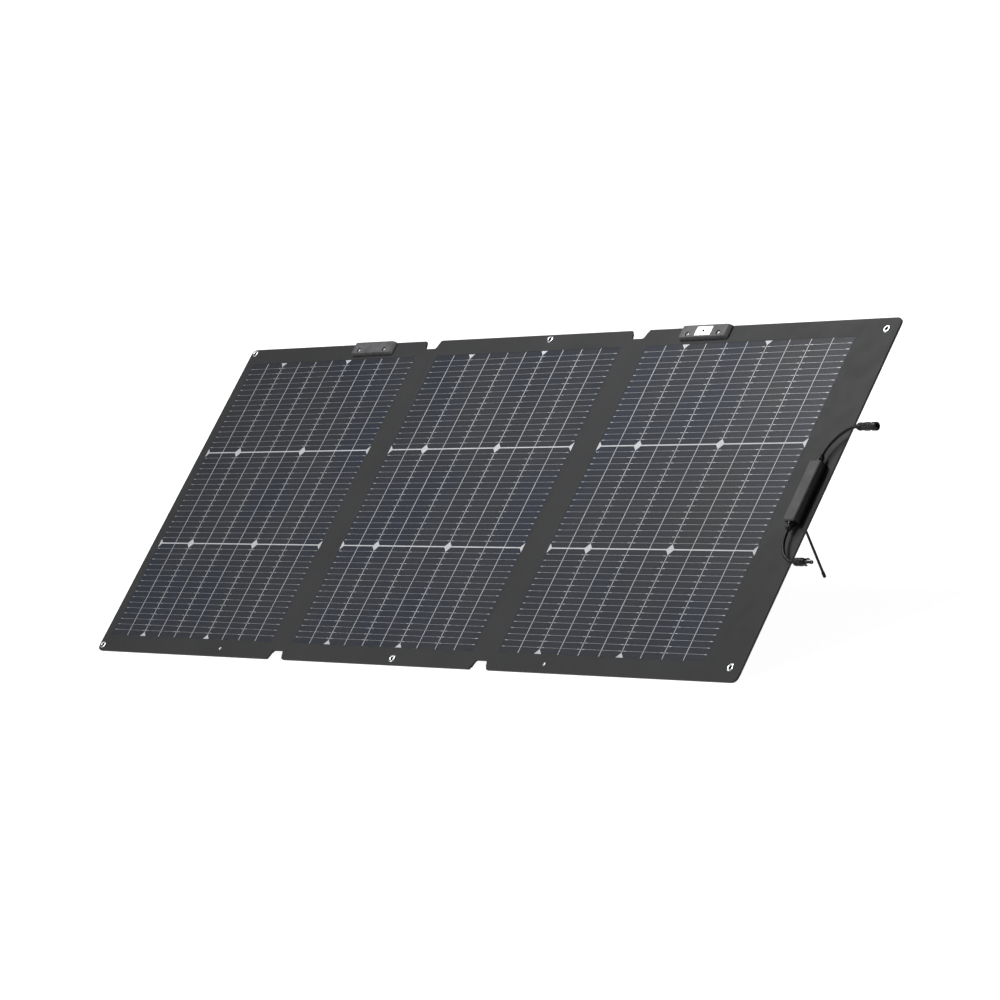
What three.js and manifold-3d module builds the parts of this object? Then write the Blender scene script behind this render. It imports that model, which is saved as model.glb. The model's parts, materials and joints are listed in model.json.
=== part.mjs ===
// Tri-fold portable solar panel, standing on two rod legs, in millimetres with +Z up.
//
// Everything is laid out in the panel's own directions: x runs along the width from the
// left edge, s runs up the sloping face from the bottom edge, and n stands out of the face.
// One group turns the whole panel back to its working slope, so that the back edge of the
// stiffener boards and the two rubber feet rest on z = 0.

import * as THREE from 'three';
import { mergeVertices } from 'three/addons/utils/BufferGeometryUtils.js';
import Module from 'manifold-3d';

const wasm = await Module();
wasm.setup();

// ---- driving dimensions ---------------------------------------------------------------

const WIDTH = 1622;
const HEIGHT = 614;
const SLOPE = THREE.MathUtils.degToRad(40);
const CORNER_RADIUS = 12;
const GAP = 0.3; // clearance between two pieces that touch

// Fold lines, with half the width of the soft web that joins the stiff sections there.
const FOLDS = {
  left: { x: 517, half: 15 },
  right: { x: 1042.5, half: 20 },
};
const NOTCH = { mouth: 20, floor: 13.5, depth: 15.7 }; // half widths, cut in both ends of a fold

// Layers of each section, as [back, front] distances out of the face.
const LAMINATE = [-1.3, 0];
const CELLS = [-1.3, -0.8];
const BOARD = [-3.4, -1.6];
const COVER = [-4.3, -3.7];
const WEB = [-2.4, -0.4];
const COVER_INSET = 2.5;
const FRONT = GAP; // where a fitting starts in front of the face
const BACK = COVER[0] - GAP; // where a fitting starts behind the back cover

// Ten quarter-cut strips by three rows of cells in each section.
const MATRIX = { width: 467, height: 552, left: { left: 21.5, middle: 545, right: 1073 } };

const EYELET = { hole: 3.1, barrel: 3.9, flange: 6.5, roll: 5.6, clearance: 4.3 };
const EYELETS = {
  left_top: [12, HEIGHT - 8],
  left_bottom: [11.5, 11],
  middle_top: [824.5, HEIGHT - 8.5],
  middle_bottom: [824.5, 11],
  right_top: [1598.5, HEIGHT - 20],
  right_bottom: [1598.5, 23],
};

const RIVET = { head: 3.2, shank: 1.8, clearance: 2.2 };
const RIVETS = { left: [357.5, 13.5], right: [1194.5, 13.5] };

// Screwed clips on the top edge: a bevelled front bar and a back plate.
const CLIP = { width: 111, height: 24, rise: 8, bevel: 5, plate: 3.5, screwSpan: 70, screwDrop: 16.5 };
const CLIPS = { left: 363, right: 1202 };
const SCREW = { head: 3.2, headHeight: 2.1, shank: 1.7, seat: 5, clearance: 2.1, recess: 3.9 };
const WINDOW = { width: 36, height: 16.4, depth: 2.2 };

// Junction box on the right margin, with its leads leaving both ends.
const BOX = { x: 1597, s: 307.5, width: 24, length: 102, baseTop: 13.7, lidTop: 17.2, wall: 2 };
const LEAD_RADIUS = 2.5;
const LEAD_HEIGHT = 9; // height of the lead's axis where it leaves the box
const GLAND = { flange: 5.5, thread: 3.4, bore: 2.7, flangeLength: 3.2, nutLength: 8.5 };

// Each lead is a cubic curve from its gland nut to its connector: start, two control points
// and end, as x, s, n.
const LEADS = {
  upper: [[1597, 370.7, 9], [1597, 389, 9.8], [1620, 417.8, 10.2], [1642.7, 418, 10]],
  lower: [[1597, 244.3, 9], [1597, 221, 9.8], [1614, 192, 10.3], [1640, 191.5, 10]],
};

// Rod legs behind the middle and right sections, whose backs are the outside of the folded
// pack. A hinge lies close to the back cover, and the open leg stands LEG.open away from the
// flat position along the back.
const LEG = {
  x: { middle: 600, right: 1342 },
  s: 506,
  n: -8.9,
  open: THREE.MathUtils.degToRad(61.3),
  rod: 2.1,
  eyeWidth: 5.4,
  foot: 3,
  footLength: 10,
};
const BRACKET = { width: 24, length: 30, base: 1.2, ear: 1.6, earRadius: 3 };
const PIN = { radius: 1.1, head: 1.9, headHeight: 1, clearance: 1.4 };

// Height that lifts the lowest edge of the boards to z = 0. The leg's length, from its hinge
// to the middle of its foot's round end, then follows from the height of the hinge.
const LIFT = -BOARD[0] * Math.cos(SLOPE);
const HINGE_HEIGHT = LEG.s * Math.sin(SLOPE) + LEG.n * Math.cos(SLOPE) + LIFT;
const LEG_LENGTH = (HINGE_HEIGHT - LEG.foot) / Math.sin(SLOPE + LEG.open);

// ---- materials ------------------------------------------------------------------------

function finish(color, roughness, metalness = 0) {
  return new THREE.MeshStandardMaterial({ color, roughness, metalness });
}

const LAMINATE_BLACK = finish(0x3c3d3f, 0.55);
const CELL_BLUE = finish(0x3a3f4a, 0.35);
const BOARD_BLACK = finish(0x1c1c1d, 0.7);
const FABRIC_BLACK = finish(0x1e1e20, 0.9);
const PLASTIC_BLACK = finish(0x141415, 0.45);
const LID_GREY = finish(0x4a4a4c, 0.6);
const RUBBER_BLACK = finish(0x18181a, 0.85);
const CABLE_BLACK = finish(0x161617, 0.5);
const STEEL = finish(0xb4b6b8, 0.3, 1);
const ROD_BLACK = finish(0x101011, 0.4);
const TARGET_WHITE = finish(0xe6e6e2, 0.5);
const BOARD_GREEN = finish(0x2c5a3c, 0.6);

// ---- geometry helpers -----------------------------------------------------------------

// Closed indexed geometry: shared vertices merged, collapsed triangles dropped, facing out.
function closed(geometry) {
  const bare = geometry.clone();
  bare.deleteAttribute('normal');
  bare.deleteAttribute('uv');
  const merged = mergeVertices(bare, 1e-4);
  const index = merged.index.array;
  const position = merged.attributes.position;
  const [a, b, c] = [new THREE.Vector3(), new THREE.Vector3(), new THREE.Vector3()];
  const kept = [];
  let volume = 0;
  for (let i = 0; i < index.length; i += 3) {
    const [p, q, r] = [index[i], index[i + 1], index[i + 2]];
    if (p === q || q === r || r === p) continue;
    kept.push(p, q, r);
    a.fromBufferAttribute(position, p);
    b.fromBufferAttribute(position, q);
    c.fromBufferAttribute(position, r);
    volume += a.dot(b.cross(c));
  }
  if (volume < 0) kept.reverse();
  merged.setIndex(kept);
  return merged;
}

function toSolid(geometry) {
  const shell = closed(geometry);
  return new wasm.Manifold(new wasm.Mesh({
    numProp: 3,
    vertProperties: new Float32Array(shell.attributes.position.array),
    triVerts: new Uint32Array(shell.index.array),
  }));
}

function toGeometry(solid) {
  const mesh = solid.getMesh();
  const geometry = new THREE.BufferGeometry();
  geometry.setAttribute('position', new THREE.BufferAttribute(mesh.vertProperties, 3));
  geometry.setIndex(Array.from(mesh.triVerts));
  return geometry;
}

// Joins the pieces in one list, then cuts away those in the other.
function carve(pieces, cuts = []) {
  let solid = toSolid(pieces[0]);
  for (const piece of pieces.slice(1)) solid = solid.add(toSolid(piece));
  for (const cut of cuts) solid = solid.subtract(toSolid(cut));
  return toGeometry(solid);
}

// Outline from corners [x, y, cutback]; a corner with a cutback is rounded over that length.
function outline(corners) {
  const shape = new THREE.Shape();
  corners.forEach(([x, y, cutback = 0], i) => {
    const corner = new THREE.Vector2(x, y);
    const towards = (other) => new THREE.Vector2(other[0], other[1]).sub(corner)
      .setLength(cutback).add(corner);
    const start = towards(corners.at(i - 1));
    if (i === 0) shape.moveTo(start.x, start.y);
    else shape.lineTo(start.x, start.y);
    if (cutback > 0) {
      const end = towards(corners[(i + 1) % corners.length]);
      shape.quadraticCurveTo(x, y, end.x, end.y);
    }
  });
  shape.closePath();
  return shape;
}

function roundHole([x, y], radius, sides = 16) {
  const points = [];
  for (let i = 0; i < sides; i += 1) {
    const turn = (2 * Math.PI * i) / sides;
    points.push(new THREE.Vector2(x + radius * Math.cos(turn), y + radius * Math.sin(turn)));
  }
  return new THREE.Path(points);
}

// Flat layer between two distances out of the face, with round holes [centre, radius].
function layer(shape, [back, front], holes = []) {
  shape.holes = holes.map(([centre, radius]) => roundHole(centre, radius));
  const geometry = new THREE.ExtrudeGeometry(shape, {
    depth: front - back, bevelEnabled: false, curveSegments: 4,
  });
  return geometry.translate(0, 0, back);
}

// Block from its lowest and highest corners.
function block(low, high) {
  const size = high.map((value, i) => value - low[i]);
  const centre = high.map((value, i) => (value + low[i]) / 2);
  return new THREE.BoxGeometry(...size).translate(...centre);
}

// Turned piece: profile of [radius, distance along the axis], round the named axis.
function turned(profile, axis, sides = 16) {
  const points = profile.map(([radius, along]) => new THREE.Vector2(radius, along));
  const geometry = new THREE.LatheGeometry(points, sides);
  if (axis === 'x') geometry.rotateZ(-Math.PI / 2);
  if (axis === 'n') geometry.rotateX(Math.PI / 2);
  return geometry;
}

function rod(radius, from, to, axis, sides = 16) {
  return turned([[0, from], [radius, from], [radius, to], [0, to]], axis, sides);
}

function tube(inner, outer, from, to, axis, sides = 16) {
  return turned([[inner, from], [outer, from], [outer, to], [inner, to], [inner, from]], axis, sides);
}

const panel = new THREE.Group();

function add(name, geometry, material, position = [0, 0, 0], parent = panel) {
  const mesh = new THREE.Mesh(closed(geometry), material);
  mesh.name = name;
  mesh.position.set(...position);
  parent.add(mesh);
  return mesh;
}

// ---- stiff sections and fold webs -----------------------------------------------------

// Ends of a section along x. An outer edge has round corners; a fold edge is cut back to
// the mouth of the notch at the panel's top and bottom edges.
const SECTIONS = {
  left: { start: { x: 0 }, end: { x: FOLDS.left.x, fold: FOLDS.left } },
  middle: {
    start: { x: FOLDS.left.x, fold: FOLDS.left },
    end: { x: FOLDS.right.x, fold: FOLDS.right },
  },
  right: { start: { x: FOLDS.right.x, fold: FOLDS.right }, end: { x: WIDTH } },
};

// Distance up from the edge at which a notch has narrowed to a given half width.
function notchHeight(half) {
  return (NOTCH.depth * (NOTCH.mouth - half)) / (NOTCH.mouth - NOTCH.floor);
}

// Corners of one end of a section, from the bottom edge to the top edge. side is +1 where
// the section lies to the right of that end.
function sectionEnd({ x, fold }, side, inset) {
  const [bottom, top] = [inset, HEIGHT - inset];
  if (!fold) {
    const edge = x + side * inset;
    return [[edge, bottom, CORNER_RADIUS], [edge, top, CORNER_RADIUS]];
  }
  const edge = x + side * (fold.half + inset);
  if (fold.half >= NOTCH.mouth) return [[edge, bottom, 3], [edge, top, 3]];
  const mouth = x + side * (NOTCH.mouth + inset);
  const rise = notchHeight(fold.half);
  return [[mouth, bottom, 3], [edge, rise, 3], [edge, HEIGHT - rise, 3], [mouth, top, 3]];
}

function sectionOutline({ start, end }, inset = 0) {
  return outline([...sectionEnd(end, -1, inset), ...sectionEnd(start, 1, inset).reverse()]);
}

function holesIn({ start, end }, grow) {
  const within = ([x]) => x > start.x && x < end.x;
  const screws = Object.values(CLIPS).flatMap((centre) => screwPlaces(centre));
  return [
    ...Object.values(EYELETS).filter(within).map((place) => [place, EYELET.clearance + grow]),
    ...Object.values(RIVETS).filter(within).map((place) => [place, RIVET.clearance + grow]),
    ...screws.filter(within).map((place) => [place, SCREW.clearance + grow]),
  ];
}

function screwPlaces(centre) {
  return [-1, 1].map((side) => [centre + (side * CLIP.screwSpan) / 2, HEIGHT - CLIP.screwDrop]);
}

function buildSection(name, section) {
  const matrixLow = [MATRIX.left[name], (HEIGHT - MATRIX.height) / 2];
  const matrixHigh = [matrixLow[0] + MATRIX.width, matrixLow[1] + MATRIX.height];
  const pocket = block(
    [matrixLow[0] - GAP, matrixLow[1] - GAP, LAMINATE[0] - 1],
    [matrixHigh[0] + GAP, matrixHigh[1] + GAP, CELLS[1] + GAP],
  );
  const face = layer(sectionOutline(section), LAMINATE, holesIn(section, 0));
  add(`front_laminate_${name}`, carve([face], [pocket]), LAMINATE_BLACK);
  add(`cell_matrix_${name}`,
    block([...matrixLow, CELLS[0]], [...matrixHigh, CELLS[1]]), CELL_BLUE);
  add(`stiffener_board_${name}`,
    layer(sectionOutline(section), BOARD, holesIn(section, 0)), BOARD_BLACK);
  add(`back_cover_${name}`,
    layer(sectionOutline(section, COVER_INSET), COVER, holesIn(section, 0)), FABRIC_BLACK);
}

// Soft strip between two sections, with a notch cut in each end.
function buildWeb(name, { x, half }) {
  const edge = half - GAP;
  const rise = Math.max(notchHeight(half) + 0.7, 0.7);
  const lower = [
    [-edge, rise, 0], [-NOTCH.floor, NOTCH.depth, 3], [NOTCH.floor, NOTCH.depth, 3], [edge, rise, 0],
  ];
  const upper = lower.map(([dx, s, cutback]) => [dx, HEIGHT - s, cutback]).reverse();
  const corners = [...lower, ...upper].map(([dx, s, cutback]) => [x + dx, s, cutback]);
  add(`fold_web_${name}`, layer(outline(corners), WEB), FABRIC_BLACK);
}

// ---- eyelets and rivets ---------------------------------------------------------------

function buildEyelet(name, [x, s]) {
  const { hole, barrel, flange, roll } = EYELET;
  const profile = [
    [hole, BACK - 1], [roll, BACK - 1], [roll, BACK], [barrel, BACK], [barrel, FRONT],
    [flange, FRONT], [flange - 0.2, FRONT + 0.6], [barrel + 0.7, FRONT + 1.2],
    [hole, FRONT + 0.7], [hole, BACK - 1],
  ];
  add(`eyelet_${name}`, turned(profile, 'n', 20), STEEL, [x, s, 0]);
}

function buildRivet(name, [x, s]) {
  const { head, shank } = RIVET;
  const profile = [
    [0, BACK - 0.8], [head, BACK - 0.8], [head, BACK], [shank, BACK], [shank, FRONT],
    [head, FRONT], [head - 0.5, FRONT + 1], [head - 1.6, FRONT + 1.6], [0, FRONT + 1.8],
  ];
  add(`edge_rivet_${name}`, turned(profile, 'n', 16), STEEL, [x, s, 0]);
}

// ---- clips on the top edge ------------------------------------------------------------

// Front bar with sloping ends: a trapezium across x and n, drawn along s.
function clipBar(centre) {
  const half = CLIP.width / 2;
  const shape = outline([
    [-half, FRONT], [half, FRONT], [half, FRONT + 2.5, 1],
    [half - CLIP.bevel, CLIP.rise, 1], [-half + CLIP.bevel, CLIP.rise, 1], [-half, FRONT + 2.5, 1],
  ]);
  const bar = new THREE.ExtrudeGeometry(shape, {
    depth: CLIP.height, bevelEnabled: false, curveSegments: 3,
  });
  return bar.rotateX(Math.PI / 2).translate(centre, HEIGHT, 0);
}

function buildScrew(name, [x, s]) {
  const under = SCREW.seat + GAP;
  const top = under + SCREW.headHeight;
  const profile = [
    [0, BACK - CLIP.plate + GAP], [SCREW.shank, BACK - CLIP.plate + GAP + 1], [SCREW.shank, under],
    [SCREW.head, under], [SCREW.head, top - 0.6], [SCREW.head - 0.7, top], [0, top],
  ];
  const drive = rod(1.4, top - 1.2, top + 1, 'n', 6);
  add(name, carve([turned(profile, 'n', 16)], [drive]), STEEL, [x, s, 0]);
}

function buildClip(name, centre) {
  const places = screwPlaces(centre);
  const cuts = places.flatMap(([x, s]) => [
    rod(SCREW.clearance, -10, 20, 'n').translate(x, s, 0),
    rod(SCREW.recess, SCREW.seat, 20, 'n').translate(x, s, 0),
  ]);
  const middle = HEIGHT - CLIP.height / 2;
  const floor = CLIP.rise - WINDOW.depth;
  if (name === 'right') {
    cuts.push(block(
      [centre - WINDOW.width / 2 - GAP, middle - WINDOW.height / 2 - GAP, floor],
      [centre + WINDOW.width / 2 + GAP, middle + WINDOW.height / 2 + GAP, 20],
    ));
  }
  add(`top_clip_${name}`, carve([clipBar(centre)], cuts), PLASTIC_BLACK);

  const half = CLIP.width / 2;
  const plate = outline([
    [centre - half, HEIGHT - CLIP.height, 3], [centre + half, HEIGHT - CLIP.height, 3],
    [centre + half, HEIGHT, 2], [centre - half, HEIGHT, 2],
  ]);
  add(`clip_back_plate_${name}`,
    layer(plate, [BACK - CLIP.plate, BACK], places.map((place) => [place, SCREW.clearance])),
    PLASTIC_BLACK);
  places.forEach((place, i) => buildScrew(`clip_screw_${name}_${i + 1}`, place));
}

// White target with a short post: the post's shadow shows how squarely the sun strikes.
function buildSunTarget(centre) {
  const middle = HEIGHT - CLIP.height / 2;
  const low = CLIP.rise - WINDOW.depth + GAP;
  const plate = block(
    [centre - WINDOW.width / 2, middle - WINDOW.height / 2, low],
    [centre + WINDOW.width / 2, middle + WINDOW.height / 2, CLIP.rise - 0.5],
  );
  const hole = rod(1.7, 0, 20, 'n').translate(centre, middle, 0);
  add('sun_target_plate', carve([plate], [hole]), TARGET_WHITE);
  add('sun_target_post', rod(1.4, low, CLIP.rise + 1.5, 'n', 12), PLASTIC_BLACK, [centre, middle, 0]);
}

// ---- junction box ---------------------------------------------------------------------

function boxOutline(inset, cutback) {
  const [dx, ds] = [BOX.width / 2 - inset, BOX.length / 2 - inset];
  return outline([
    [-dx, -ds, cutback], [dx, -ds, cutback], [dx, ds, cutback], [-dx, ds, cutback],
  ]);
}

function buildBox() {
  const { width, length, baseTop, lidTop, wall, x, s } = BOX;
  const at = [x, s, 0];
  const base = layer(boxOutline(0, 3), [FRONT, baseTop]);
  const hollow = layer(boxOutline(wall, 2), [FRONT + 1.8, baseTop + 1]);
  const bores = rod(GLAND.thread + GAP, -length, length, 's').translate(0, 0, LEAD_HEIGHT);
  add('junction_box_base', carve([base], [hollow, bores]), PLASTIC_BLACK, at);

  const seal = layer(boxOutline(0.8, 2.6), [baseTop + GAP, baseTop + GAP + 0.6]);
  const sealHole = layer(boxOutline(wall, 2), [baseTop - 1, baseTop + 2]);
  add('junction_box_seal', carve([seal], [sealHole]), RUBBER_BLACK, at);

  // Lid: a flat plate whose top edge is bevelled all round.
  const under = baseTop + 2 * GAP + 0.6;
  const bevel = 1.8;
  const lid = new THREE.ExtrudeGeometry(boxOutline(bevel, 2), {
    depth: lidTop - under - bevel, bevelEnabled: true, bevelThickness: bevel, bevelSize: bevel,
    bevelSegments: 1, curveSegments: 3,
  }).translate(0, 0, under);
  const belowLid = block([-width, -length, 0], [width, length, under]);
  add('junction_box_lid', carve([lid], [belowLid]), LID_GREY, at);

  const deck = FRONT + 1.8 + GAP;
  add('terminal_board', block([-8.5, -42, deck], [8.5, 42, deck + 1.2]), BOARD_GREEN, at);
  add('bypass_diode', block([-5, -7, deck + 1.2 + GAP], [5, 7, deck + 6]), PLASTIC_BLACK, at);
}

// Cable gland through one end wall of the box, with its clamping nut. way is +1 at the
// upper end and -1 at the lower end.
function buildGland(name, way) {
  const face = BOX.length / 2;
  const { flange, thread, bore, flangeLength, nutLength } = GLAND;
  const seat = face + GAP;
  const shoulder = seat + flangeLength;
  const profile = [
    [bore, face - BOX.wall], [thread, face - BOX.wall], [thread, seat], [flange, seat],
    [flange, shoulder], [thread, shoulder], [thread, shoulder + 3.6], [bore, shoulder + 3.6],
    [bore, face - BOX.wall],
  ];
  const nutStart = shoulder + GAP;
  const nutEnd = nutStart + nutLength;
  const nut = [
    [thread + GAP, nutStart], [flange - 0.3, nutStart], [flange - 0.3, nutEnd - 3.2],
    [LEAD_RADIUS + 1, nutEnd], [bore, nutEnd], [bore, shoulder + 4.4],
    [thread + GAP, shoulder + 4.4], [thread + GAP, nutStart],
  ];
  const place = (points, sides) => {
    const geometry = turned(points, 's', sides);
    if (way < 0) geometry.rotateX(Math.PI);
    return geometry;
  };
  const at = [BOX.x, BOX.s, LEAD_HEIGHT];
  add(`cable_gland_${name}`, place(profile, 16), PLASTIC_BLACK, at);
  add(`gland_nut_${name}`, place(nut, 12), PLASTIC_BLACK, at);
}

// ---- leads and connectors -------------------------------------------------------------

function buildLead(name, points) {
  const path = new THREE.CubicBezierCurve3(...points.map((point) => new THREE.Vector3(...point)));
  const section = new THREE.Shape(roundHole([0, 0], LEAD_RADIUS, 10).getPoints());
  const lead = new THREE.ExtrudeGeometry(section, { extrudePath: path, steps: 10 });
  add(`lead_cable_${name}`, lead, CABLE_BLACK);
}

// Tapered clamping nut shared by both connectors, from the lead towards the housing.
function connectorNut() {
  return turned([
    [2.7, 0], [3.6, 0], [6.1, 4.8], [6.1, 11.2], [4, 11.2], [2.7, 6.5], [2.7, 0],
  ], 'x', 12);
}

// Socket half: ribbed barrel with two latch windows and a heavier collar at the mouth.
function buildSocketConnector([x, s, n]) {
  const at = [x + GAP, s, n];
  add('socket_connector_nut', connectorNut(), PLASTIC_BLACK, at);
  const barrel = turned([
    [2.8, 11.5], [5.5, 11.5], [5.9, 16], [5.9, 32], [6.5, 32.8], [6.5, 40.4], [6.1, 40.8],
    [4.3, 40.8], [4.3, 20.8], [2.8, 20.8], [2.8, 11.5],
  ], 'x', 20);
  const ribs = [0, 1, 2, 3, 4, 5].map((i) => block([17.6, 5.4, -0.6], [30.4, 6.4, 0.6])
    .rotateX((i * Math.PI) / 3));
  const windows = block([26.4, -8, -1.8], [30.8, 8, 1.8]).rotateX(Math.PI / 6);
  add('socket_connector_body', carve([barrel, ...ribs], [windows]), PLASTIC_BLACK, at);
  add('socket_contact', tube(1.3, 1.9, 12.8, 35.2, 'x', 12), STEEL, at);
}

// Pin half: round housing, two sprung latch arms, and the slim shroud over the contact pin.
function buildPinConnector([x, s, n]) {
  const at = [x + GAP, s, n];
  add('pin_connector_nut', connectorNut(), PLASTIC_BLACK, at);
  const housing = turned([
    [2.8, 11.5], [5.8, 11.5], [6.2, 13.6], [6.2, 19.2], [5, 20], [5, 22.8], [2.4, 23.2],
    [2.1, 34.4], [2.7, 35.2], [2.7, 38.4], [1.6, 38.4], [1.6, 12.8], [2.8, 12.8], [2.8, 11.5],
  ], 'x', 20);
  const arms = [0, Math.PI].map((turn) => {
    const arm = block([17.6, 4.2, -1.6], [29.6, 5.4, 1.6]);
    const barb = outline([[25.6, 4.3], [30.8, 4.3], [26.8, 6.7]]);
    const hook = new THREE.ExtrudeGeometry(barb, { depth: 3.2, bevelEnabled: false })
      .translate(0, 0, -1.6);
    return carve([arm, hook]).rotateX(turn);
  });
  add('pin_connector_body', carve([housing, ...arms]), PLASTIC_BLACK, at);
  add('pin_contact', rod(1.2, 13.6, 36.8, 'x', 12), STEEL, at);
}

// ---- legs -----------------------------------------------------------------------------

// Bracket riveted to the back cover: a base plate and two ears that carry the hinge pin.
function buildBracket(name, x) {
  const { width, length, base, ear, earRadius } = BRACKET;
  const inner = LEG.eyeWidth / 2 + GAP;
  const plate = layer(outline([
    [-width / 2, -length / 2, 4], [width / 2, -length / 2, 4],
    [width / 2, length / 2, 4], [-width / 2, length / 2, 4],
  ]), [BACK - base, BACK]).translate(0, LEG.s, 0);
  const ears = [-inner - ear, inner].map((start) => carve([
    rod(earRadius, start, start + ear, 'x').translate(0, LEG.s, LEG.n),
    block([start, LEG.s - earRadius, LEG.n], [start + ear, LEG.s + earRadius, BACK - base / 2]),
  ]));
  const bore = rod(PIN.clearance, -width, width, 'x').translate(0, LEG.s, LEG.n);
  add(`leg_bracket_${name}`, carve([plate, ...ears], [bore]), STEEL, [x, 0, 0]);

  const head = inner + ear + GAP;
  const pin = turned([
    [0, -head - PIN.headHeight], [PIN.head, -head - PIN.headHeight], [PIN.head, -head],
    [PIN.radius, -head], [PIN.radius, head], [PIN.head, head],
    [PIN.head, head + PIN.headHeight], [0, head + PIN.headHeight],
  ], 'x', 12);
  add(`leg_hinge_pin_${name}`, pin, STEEL, [x, LEG.s, LEG.n]);
}

// The leg is drawn from its hinge along -s, flat against the back, and turned open. Its
// heel then bears on the bracket's base plate and stops it from opening further.
function buildLeg(name, x) {
  const leg = new THREE.Group();
  leg.position.set(x, LEG.s, LEG.n);
  leg.rotation.x = LEG.open;
  panel.add(leg);

  const half = LEG.eyeWidth / 2;
  const heelTop = BACK - BRACKET.base - GAP - LEG.n;
  const heel = block([-half, 0, heelTop - 2.4], [half, 5, heelTop]).rotateX(-LEG.open);
  const eye = rod(heelTop, -half, half, 'x');
  const shaft = rod(LEG.rod, -LEG_LENGTH + 4, -1.6, 's', 12);
  const bore = rod(PIN.clearance, -10, 10, 'x', 12);
  add(`leg_rod_${name}`, carve([shaft, eye, heel], [bore]), ROD_BLACK, [0, 0, 0], leg);

  const { foot, footLength } = LEG;
  const inner = LEG.rod + GAP;
  const tip = [];
  for (let i = 0; i <= 4; i += 1) {
    const turn = (Math.PI / 2) * (i / 4);
    tip.push([foot * Math.sin(turn), -LEG_LENGTH - foot * Math.cos(turn)]);
  }
  const mouth = -LEG_LENGTH - foot + footLength;
  const profile = [
    ...tip, [foot, mouth - 2], [foot - 0.2, mouth], [inner, mouth],
    [inner, -LEG_LENGTH + 3.6], [0, -LEG_LENGTH + 3.6],
  ];
  add(`leg_foot_${name}`, turned(profile, 's', 16), RUBBER_BLACK, [0, 0, 0], leg);
}

// ---- assembly -------------------------------------------------------------------------

for (const [name, section] of Object.entries(SECTIONS)) buildSection(name, section);
for (const [name, fold] of Object.entries(FOLDS)) buildWeb(name, fold);
for (const [name, place] of Object.entries(EYELETS)) buildEyelet(name, place);
for (const [name, place] of Object.entries(RIVETS)) buildRivet(name, place);
for (const [name, centre] of Object.entries(CLIPS)) buildClip(name, centre);
buildSunTarget(CLIPS.right);

buildBox();
buildGland('upper', 1);
buildGland('lower', -1);
buildLead('upper', LEADS.upper);
buildLead('lower', LEADS.lower);
buildSocketConnector(LEADS.upper.at(-1));
buildPinConnector(LEADS.lower.at(-1));

for (const [name, x] of Object.entries(LEG.x)) {
  buildBracket(name, x);
  buildLeg(name, x);
}

// The origin is on the ground, below the middle of the object's box.
const DEPTH = HEIGHT * Math.cos(SLOPE) + (CLIP.plate - BACK) * Math.sin(SLOPE);
panel.rotation.x = SLOPE;
panel.position.set(-WIDTH / 2, -DEPTH / 2, LIFT);

const object = new THREE.Group();
object.add(panel);
export default object;
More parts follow.
